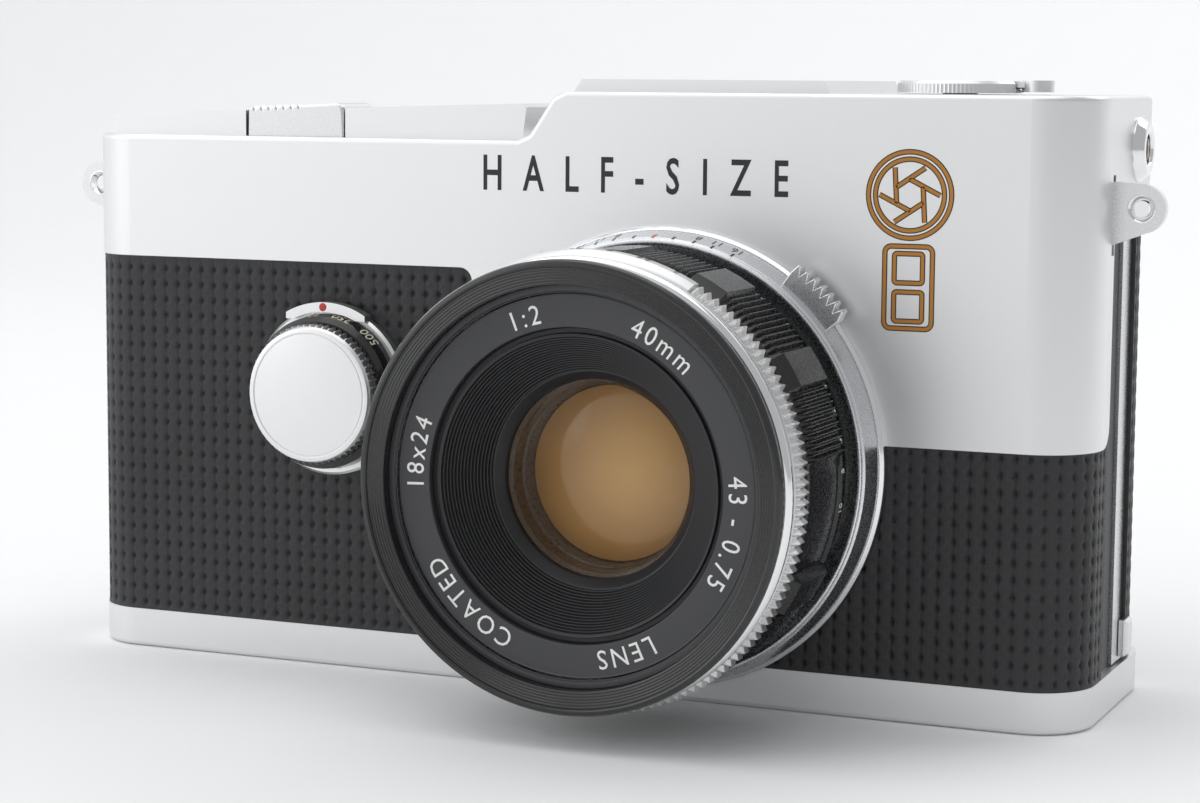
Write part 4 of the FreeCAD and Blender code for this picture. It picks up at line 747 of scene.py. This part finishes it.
turned_piece("rewind_milling", [
    (6.7, drum_low.z / MM), (6.98, drum_low.z / MM), (6.98, drum_high.z / MM),
    (6.7, drum_high.z / MM)], satin_cap, "rewind_knob", "satin_chrome", centre=drum_at, along="z",
    soft=0.0, angles=drum_angles, shape=drum_shape)

# ---------------------------------------------------------------- strap lugs and flash terminal
# Each lug is a chromed steel plate with a polished bush pressed into its hole. The flash
# terminal is a polished collar round a white insulator and a brass pin.

polished_chrome = surface("polished_chrome", (0.82, 0.82, 0.83), 0.10, metallic=1.0,
                          grain=1500.0, relief=0.0008, mottle=0.02, rough_swing=0.03)
brass = surface("brass", (0.70, 0.47, 0.20), 0.25, metallic=1.0, mottle=0.12)
white_plastic = surface("white_plastic", (0.78, 0.77, 0.73), 0.4, mottle=0.05)
dress(satin_trim, "strap_lug_right", "strap_lug_left")
dress(white_plastic, "sync_insulator")
dress(brass, "sync_pin")
for side, outward in (("right", 1), ("left", -1)):
    lug_low, lug_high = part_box("strap_lug_" + side)
    tip = (lug_high.x / MM - 2.7) if outward > 0 else (lug_low.x / MM + 2.7)
    plate_front = front - lug_low.y / MM
    plate_back = front - lug_high.y / MM
    waist = (plate_front + plate_back) / 2
    turned_piece("lug_bush_" + side, [
        (1.56, plate_back - 0.04), (1.56, plate_front + 0.04), (1.42, plate_front + 0.06),
        (0.85, waist), (1.42, plate_back - 0.06)],
        polished_chrome, "root", "polished_chrome", centre=(tip, 57.4), turns=48, soft=0.04)
ring_low, ring_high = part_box("sync_ring")
ring_at = ((ring_low.y + ring_high.y) / 2 / MM, (ring_low.z + ring_high.z) / 2 / MM)
ring_radius = (ring_high.z - ring_low.z) / 2 / MM
ring_in, ring_out = ring_low.x / MM, ring_high.x / MM
turned_piece("flash_collar", [
    (2.0, ring_in), (ring_radius, ring_in), (ring_radius, ring_out - 1.05),
    (ring_radius - 0.75, ring_out - 0.12), (ring_radius - 0.95, ring_out), (1.95, ring_out),
    (1.75, ring_out - 0.25), (1.75, ring_out - 0.8), (2.0, ring_out - 0.8)],
    polished_chrome, "root", "polished_chrome", ["sync_ring"], centre=ring_at, along="x",
    turns=96, soft=0.1)

# ---------------------------------------------------------------- lens mount and scale ring
# A polished flange on the front of the body, then the fixed chromed ring with the depth of
# field marks: a red index, black marks beside it and black figures.

lens_at = (0.0, lens_z)
dress(bright_steel, "flange_screws")
turned_piece("mount_flange", [
    (19.2, 0.0), (26.4, 0.0), (26.4, 0.75), (26.0, 1.2), (25.9, 1.2), (25.8, 0.9), (19.2, 0.9)],
    polished_chrome, "root", "polished_chrome", ["lens_flange"], lens_at, soft=0.12)
scale_finish = surface("scale_satin", (0.72, 0.73, 0.75), 0.27, metallic=1.0, grain=6000.0,
                       relief=0.0001, mottle=0.02)
turned_piece("depth_ring", [
    (19.2, 1.0), (25.9, 1.0), (25.86, 1.9), (25.3, 4.3), (25.05, 4.42), (25.05, 4.95), (24.9, 5.0),
    (24.6, 5.0), (24.5, 4.2), (19.2, 4.2)], scale_finish, "root", "satin_chrome", ["scale_ring"],
    lens_at, turns=256, soft=0.06)


def ring_mark(angle, start, end, width, radius, slope=0.0):
    """A short stroke along a turned part: four corners on its surface, raised a hair."""
    half = width / 2 / radius
    corners = []
    for out in (-0.03, 0.015):
        for place, turn in ((start, -half), (start, half), (end, half), (end, -half)):
            here = radius + slope * (place - start) + out
            at = math.radians(angle) + turn
            corners.append((here * math.cos(at), front - place, lens_z + here * math.sin(at)))
    faces = [(0, 1, 2, 3), (4, 5, 6, 7), (0, 1, 5, 4), (1, 2, 6, 5), (2, 3, 7, 6), (3, 0, 4, 7)]
    return np.array(corners), np.array(faces)


depth_slope = -0.56 / 2.4
black_marks = [ring_mark(90 + side * turn, 3.55, 4.35, 0.28, 25.48, depth_slope)
               for turn in (5.4, 11.0, 16.0, 21.7) for side in (-1, 1)]
make_piece("depth_marks", *join(black_marks), black_enamel, "root")
make_piece("focus_index", *ring_mark(90, 3.3, 4.35, 0.42, 25.54, depth_slope), red_enamel, "root")
for turn, stop in ((11.0, "8"), (16.0, "11"), (21.7, "16")):
    for side in (-1, 1):
        lettering("depth_%s_%s" % (stop, "near" if side < 0 else "far"), stop, 1.25,
                  on_cone(lens_at, 90 + side * turn, 2.65, 25.68, -0.23), black_enamel, "root",
                  depth=0.02, width=0.9)

# ---------------------------------------------------------------- depth preview lever
# A satin thumb tab at the upper right of the mount, with seven teeth cut in its outer edge.

tab_low, tab_high = 37.6, 53.8
tab_teeth = 7
tab_pitch = (tab_high - tab_low) / tab_teeth
outer = [(27.2, tab_high)]
for tooth in range(tab_teeth):
    here = tab_high - tab_pitch * tooth
    outer += [(28.35, here - 0.22 * tab_pitch), (28.35, here - 0.50 * tab_pitch),
              (27.35, here - 0.98 * tab_pitch)]
outer[-1] = (27.2, tab_low)
arc_in = [(22.0, turn) for turn in np.linspace(tab_low, tab_high, 9)]
tab_points = [(radius * math.cos(math.radians(turn)),
               lens_z + radius * math.sin(math.radians(turn)))
              for radius, turn in arc_in + outer]
tab_front, tab_back = front - 3.45, front - 1.7
solid_piece("preview_tab", tab_points, "y", tab_front, tab_back, 0.15, satin_trim,
            "preview_lever")
turned_piece("preview_ring", [(21.1, 1.8), (22.5, 1.8), (22.5, 3.3), (21.1, 3.3)], satin_trim,
             "preview_lever", "satin_chrome", ["preview_lever"], lens_at)

# ---------------------------------------------------------------- focus ring
# Black lacquered alloy. Its grip is milled in groups of ten teeth between raised smooth
# lands with bevelled edges. One group is left out for a plain recess, and the distance
# figures stand on the band behind the grip.

dress(gloss_black, "lens_barrel")
lacquer = surface("black_lacquer", (0.011, 0.011, 0.012), 0.27, grain=2600.0, relief=0.0002,
                  mottle=0.2, rough_swing=0.03, coat=0.15)
land_pitch = 30.0
land_half = 4.6
bevel = 1.2
teeth_per_group = 10
group = land_pitch - 2 * (land_half + bevel)
group_steps = np.array([0.06, 0.44, 0.56, 0.94])
group_rise = np.array([0.0, 1.0, 1.0, 0.0])
focus_angles, focus_height = [], []
for number in range(12):
    middle = 1.0 + land_pitch * number
    focus_angles += [middle - land_half - bevel, middle - land_half, middle, middle + land_half,
                     middle + land_half + bevel]
    flat = number == 11
    if number == 0:
        focus_height += [0.0, 0.0, 0.0, 0.0, 0.25]
    else:
        focus_height += [0.25, 1.15, 1.15, 1.15, 0.0 if flat else 0.25]
    for tooth in range(teeth_per_group):
        pitch = group / teeth_per_group
        start = middle + land_half + bevel + pitch * tooth
        focus_angles += list(start + group_steps * pitch)
        focus_height += [0.0] * 4 if flat else list(0.25 + 0.6 * group_rise)
focus_order = np.argsort(focus_angles)
focus_angles = np.array(focus_angles)[focus_order]
focus_height = np.array(focus_height)[focus_order]


def focus_shape(angle, radius, place):
    """The grip stands between 7.9 and 17.4 ahead: lands at full radius, teeth below it."""
    grip = (radius > 23.9) & (place > 7.7) & (place < 17.5)
    return np.where(grip, 23.45 + focus_height[:, None], radius), place


turned_piece("focus_grip", [
    (20.3, 7.0), (23.4, 7.0), (23.7, 7.2), (23.7, 7.6), (24.6, 8.2), (24.6, 12.0), (24.6, 15.6),
    (24.3, 16.6), (23.3, 17.8), (23.2, 19.2), (23.0, 19.4), (20.3, 19.4)],
    lacquer, "focus_ring", "black_anodised", ["focus_ring"], lens_at, soft=0.12,
    angles=focus_angles, shape=focus_shape, sharp=30)
for turn, metres in ((10.0, "3"), (18.0, "2"), (2.0, "5"), (-8.0, "10"), (26.0, "1.5"),
                     (34.0, "1.2"), (44.0, "1"), (55.0, "0.8"), (68.0, "0.6")):
    lettering("distance_" + metres.replace(".", "_"), metres, 0.95,
              on_cone(lens_at, turn, 7.45, 23.74, 0.0), white_fill, "focus_ring", depth=0.03)

# ---------------------------------------------------------------- aperture ring
# Chromed ring, milled in sharp teeth except for a smooth land on top with the f-numbers.

ring_satin = surface("ring_satin", (0.76, 0.76, 0.76), 0.36, metallic=1.0, grain=7000.0,
                     relief=0.0005, mottle=0.01)
aperture_angles, aperture_teeth = milled(150, crest=0.10, valley=0.10)
on_land = (aperture_angles > 60) & (aperture_angles < 128)
aperture_teeth = np.where(on_land, 1.0, aperture_teeth)


def aperture_shape(angle, radius, place):
    """Teeth are cut 0.55 deep across the whole width but for a lip at the front."""
    outer = radius > 24.3
    cut_depth = np.where(outer, 0.55 * (1 - aperture_teeth[:, None]), 0.0)
    return radius - cut_depth, place


turned_piece("aperture_grip", [
    (20.8, 21.6), (24.5, 21.6), (25.0, 22.1), (25.0, 23.5), (24.5, 24.3), (24.2, 24.5),
    (20.8, 24.5)], ring_satin, "aperture_ring", "satin_chrome", ["aperture_ring"], lens_at, soft=0.08,
    angles=aperture_angles, shape=aperture_shape)
first_stop, stop_pitch = 66, 9
for number, stop in enumerate(("2", "2.8", "4", "5.6", "8", "11", "16")):
    lettering("stop_" + stop.replace(".", "_"), stop, 1.15,
              on_cone(lens_at, first_stop + stop_pitch * number, 22.75, 25.0), black_enamel,
              "aperture_ring", depth=0.02, width=0.85)

# ---------------------------------------------------------------- lens front
# A polished bead, then the black filter rim with fine rings cut in its face, the name ring
# with its plain figures, and the ribbed black cone that leads to the glass.

dress(matt_black, "lens_head")
turned_piece("polished_bead", [
    (21.6, 24.75), (23.5, 24.75), (23.6, 25.0), (24.0, 25.05), (24.4, 25.35), (24.4, 25.8),
    (24.1, 26.2), (23.6, 26.35), (21.6, 26.35)], polished_chrome, "lens_head", "polished_chrome",
    ["chrome_bead"], lens_at, turns=256, soft=0.15)
rim_black = surface("rim_black", (0.012, 0.012, 0.013), 0.22, grain=2600.0, relief=0.0004,
                    mottle=0.2, coat=0.3, lathe=((0.0, 0.0, lens_z), "Y", 2600.0))
rim_profile = [(20.6, 26.3), (23.0, 26.3), (23.2, 26.6), (24.15, 27.5), (24.2, 28.1), (24.0, 28.5),
               (23.6, 28.6), (23.4, 28.5)]
for number in range(6):
    step = 23.35 - 0.3 * number
    rim_profile += [(step, 28.36 - 0.06 * number), (step - 0.12, 28.41 - 0.06 * number),
                    (step - 0.18, 28.41 - 0.06 * number)]
rim_profile += [(21.5, 28.0), (21.5, 26.75), (21.3, 26.65), (20.75, 26.65), (20.7, 26.5),
                (20.6, 26.5)]
turned_piece("filter_rim", rim_profile, rim_black, "lens_head", "black_anodised", ["filter_ring"],
             lens_at, turns=256, soft=0.04)
name_grey = surface("name_grey", (0.042, 0.042, 0.046), 0.38, grain=5000.0, relief=0.0015,
                    mottle=0.08, lathe=((0.0, 0.0, lens_z), "Y", 5200.0))
turned_piece("name_plate", [
    (16.9, 25.3), (20.55, 25.3), (20.55, 26.15), (20.4, 26.22), (20.3, 26.1), (17.0, 26.1),
    (16.9, 26.0)], name_grey, "lens_head", "black_anodised", ["name_ring"], lens_at, turns=256,
    soft=0.05)
turned_piece("rim_floor", [
    (20.62, 26.3), (21.45, 26.3), (21.45, 26.78), (20.85, 26.78), (20.75, 26.6)], name_grey,
             "lens_head", "black_anodised", centre=lens_at, turns=256, soft=0.04)


def on_face(centre, middle_angle, radius, ahead):
    """Letters on a turned part's front face, read from the front, tops outwards."""
    def put(across, up, out):
        turn = math.radians(middle_angle) - across / radius
        reach = radius + up
        return (centre[0] + reach * np.cos(turn), front - ahead - out,
                centre[1] + reach * np.sin(turn))
    return put


letter_radius, plate_face = 18.65, 26.1
ring_words = ((108.0, "1:2"), (57.0, "40mm"), (172.0, "18x24"), (228.0, "COATED"),
              (290.0, "LENS"), (348.0, "43 - 0.75"))
for angle, words in ring_words:
    tag = "".join(letter if letter.isalnum() else "_" for letter in words)
    lettering("ring_" + tag, words, 2.15,
              on_face(lens_at, angle, letter_radius, plate_face), white_fill, "lens_head",
              spacing=1.25, width=0.92, depth=0.025)

baffle_black = surface("baffle_black", (0.016, 0.016, 0.018), 0.42, grain=3000.0, relief=0.002,
                       mottle=0.1)
rib_count = 16
baffle_profile = [(16.9, 25.2), (16.75, 25.0), (16.3, 25.0), (16.2, 25.55)]
for number in range(rib_count):
    share = number / rib_count
    rib_radius = 16.0 - 4.2 * share
    rib_ahead = 25.4 - 4.7 * share
    baffle_profile += [(rib_radius, rib_ahead), (rib_radius - 0.13, rib_ahead),
                       (rib_radius - 0.16, rib_ahead - 0.36)]
baffle_profile += [(11.75, 20.6), (10.9, 19.65), (10.8, 19.4), (10.8, 19.0), (16.9, 19.0)]
turned_piece("ribbed_cone", baffle_profile, baffle_black, "lens_head", "black_anodised",
             ["lens_baffle"], lens_at, turns=256, soft=0.02)

# ---------------------------------------------------------------- glass
# Amber-coated elements: the domed front one, the opaque second one whose amber colour is
# paler right of its middle as painted light and darker at its rim as painted shade, and the
# paler rear group seen through the open iris. Blackened retaining rings lie between them.


def domed(edge_radius, edge_ahead, rise, back_ahead, steps=14):
    """Half section of a lens element: a shallow spherical cap over a plain edge."""
    turn = np.linspace(0, 1, steps)[:, None]
    radius = edge_radius * turn
    cap = np.hstack([radius, edge_ahead + rise * (1 - turn ** 2)])
    return np.vstack([cap, [[edge_radius, back_ahead], [0.0, back_ahead]]])


def amber_glass(name, rim, middle, roughness, see_through):
    """Coated glass whose colour runs from the rim to a paler middle, by distance from a point
    2.2 millimetres right of the lens axis: over the glass's own amber tint, the darker rim is
    painted shade and the paler middle painted light. It lets part of the light through."""
    material = bpy.data.materials.new(name)
    material.use_nodes = True
    tree = material.node_tree
    shader = tree.nodes["Principled BSDF"]
    place = add(tree, "TexCoord", {}).outputs["Object"]
    moved = add(tree, "Mapping", {"Vector": place, "Location": (-2.2 * MM, 0.0, -lens_z * MM),
                                  "Scale": (1.0, 0.0, 1.0)})
    reach = add(tree, "VectorMath", {0: moved.outputs["Vector"]}, operation="LENGTH")
    share = add(tree, "MapRange", {"Value": reach.outputs["Value"], "From Min": 0.0,
                                   "From Max": 0.0105})
    share.interpolation_type = "SMOOTHSTEP"
    haze = add(tree, "TexNoise", {"Vector": place, "Scale": 120.0, "Detail": 2.0})
    jitter = add(tree, "Math", {0: haze.outputs["Fac"], 1: 0.25, 2: -0.125},
                 operation="MULTIPLY_ADD")
    total = add(tree, "Math", {0: share.outputs["Result"], 1: jitter.outputs[0]}, operation="ADD",
                use_clamp=True)
    # Painted light and shade: the rim colour darkens the edge, and the paler middle colour stands in for
    # light seen through the glass.
    colour = add(tree, "MixRGB", {"Fac": total.outputs[0], "Color1": middle, "Color2": rim})
    tree.links.new(colour.outputs["Color"], shader.inputs["Base Color"])
    shader.inputs["Roughness"].default_value = roughness
    shader.inputs["Coat Weight"].default_value = 0.6
    shader.inputs["Coat Roughness"].default_value = 0.03
    shader.inputs["Alpha"].default_value = 1.0 - see_through
    return material


# Its faint colour also darkens towards the rim, as painted shade.
clear_glass = amber_glass("clear_glass", (0.03, 0.015, 0.006, 1.0), (0.06, 0.035, 0.015, 1.0),
                          0.02, 0.86)

turned_piece("front_element", domed(10.75, 19.45, 1.7, 19.2), clear_glass, "lens_head",
             "optical_glass", ["front_glass"], lens_at, soft=0.0, closed=False)
# The second element is opaque: its colour paints the amber light seen through the lens, paler right of the
# middle, and painted shade at its rim.
second_amber_painted_light = amber_glass("second_amber_painted_light", (0.60, 0.30, 0.07, 1.0), (1.0, 0.58, 0.20, 1.0),
                           0.16, 0.0)
turned_piece("second_element", domed(9.7, 14.4, 1.3, 14.0), second_amber_painted_light, "lens_head",
             "optical_glass", centre=lens_at, soft=0.0, closed=False)
brown_wall = surface("brown_wall", (0.085, 0.050, 0.020), 0.30, mottle=0.2, coat=0.3)
turned_piece("retaining_ring", [
    (10.75, 18.9), (10.3, 18.6), (10.25, 16.6), (9.95, 16.4), (9.9, 14.6), (9.75, 14.2),
    (9.75, 11.9), (12.0, 11.9), (12.0, 18.9)], brown_wall, "lens_head", centre=lens_at, turns=128, soft=0.1)
# The rear group and its cell ring carry the same painted light in the middle and painted shade at the rim.
pale_amber_painted_light = amber_glass("pale_amber_painted_light", (0.50, 0.25, 0.09, 1.0), (0.85, 0.55, 0.28, 1.0), 0.2, 0.0)
turned_piece("rear_group", domed(6.3, 9.75, 0.35, 9.6), pale_amber_painted_light, "lens_head", "optical_glass",
             centre=lens_at, soft=0.0, closed=False)
turned_piece("rear_cell_ring", [(6.3, 9.65), (9.8, 9.65), (9.8, 10.1), (9.2, 10.2), (6.5, 10.0)],
             amber_glass("amber_wall_painted_light", (0.16, 0.07, 0.02, 1.0), (0.45, 0.22, 0.06, 1.0), 0.15, 0.0),
             "lens_head", centre=lens_at, turns=96, soft=0.08)
dress(clear_glass, "rear_glass")
for blade in range(1, 6):
    dress(matt_black, "iris_blade_%d" % blade)

# ---------------------------------------------------------------- finder
# The focusing screen, relay mirrors and prism lie inside the body; the eyepiece is a black
# moulded frame on the back with its own glass.

moulded_black = surface("moulded_black", (0.014, 0.014, 0.015), 0.4, grain=1800.0, relief=0.004)
silvered = surface("silvered", (0.88, 0.88, 0.90), 0.03, metallic=1.0, mottle=0.01,
                   rough_swing=0.01)
dress(clear_glass, "focusing_screen", "finder_prism", "eyepiece_glass")
dress(silvered, "finder_mirrors", "reflex_mirror")
eye_low, eye_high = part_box("eyepiece_frame")
eye_x = (eye_low.x + eye_high.x) / 2 / MM
eye_z = (eye_low.z + eye_high.z) / 2 / MM
eye_outer = rounded_frame((eye_x, eye_z), (eye_high.x - eye_low.x) / MM,
                          (eye_high.z - eye_low.z) / MM, 1.6)
eye_inner = rounded_frame((eye_x, eye_z), 8.4, 5.6, 0.5)


def framed(name, outer, inner, near, far, soft, finish, body, stands_for):
    """A flat frame between two outlines of equally many points: its section is a rectangle
    with its outer edge softened, carried round both outlines together."""
    stations = [(0.0, near), (0.0, far - soft), (0.3, far - 0.3 * soft), (0.75, far),
                (1.0, far - 0.5 * soft)]
    rings = [outer + (inner - outer) * share * 0.45 if share < 1 else inner
             for share, _ in stations]
    rings.append(inner)
    level = [place for _, place in stations] + [near]
    points = np.stack([
        np.stack([ring[:, 0], np.full(len(ring), place), ring[:, 1]], -1)
        for ring, place in zip(rings, level)], 1).reshape(-1, 3)
    make_piece(name, points, grid_faces(len(outer), len(level), True, True), finish, body,
               None, stands_for, weld=True)


framed("eyepiece_surround", eye_outer, eye_inner, back - 1.0, eye_high.y / MM, 0.7, moulded_black,
       "root", ["eyepiece_frame"])

# ---------------------------------------------------------------- film chamber and mechanism
# Blackened shutter, mirror box and gate; a black moulded take-up spool; steel sprocket.

dress(matt_black, "mirror_box", "film_gate_plate", "mirror_carrier", "shutter_disc")
dress(moulded_black, "take_up_spool")
dress(bright_steel, "film_sprocket")

# ---------------------------------------------------------------- base
# Three slotted screws, the steel tripod bush and the small rewind button are set in the base.

dress(bright_steel, "base_screws", "tripod_bush", "rewind_release")
dress(polished_chrome, "lens_release")
screw_slots = []
screw_inset, screw_apart = 8.0, 8.0
for x, y in ((left + screw_inset, 0.0), (right - screw_inset, screw_apart),
             (right - screw_inset, -screw_apart)):
    strip, strip_faces = ribbon([(x - 1.2, y - 0.9), (x + 1.2, y + 0.9)], 0.4, 0.02, False)
    flat_slot = np.stack([strip[:, 0], strip[:, 2], 0.15 - (front - strip[:, 1])], -1)
    screw_slots.append((flat_slot, strip_faces))
make_piece("base_screw_slots", *join(screw_slots), matt_black, "root")
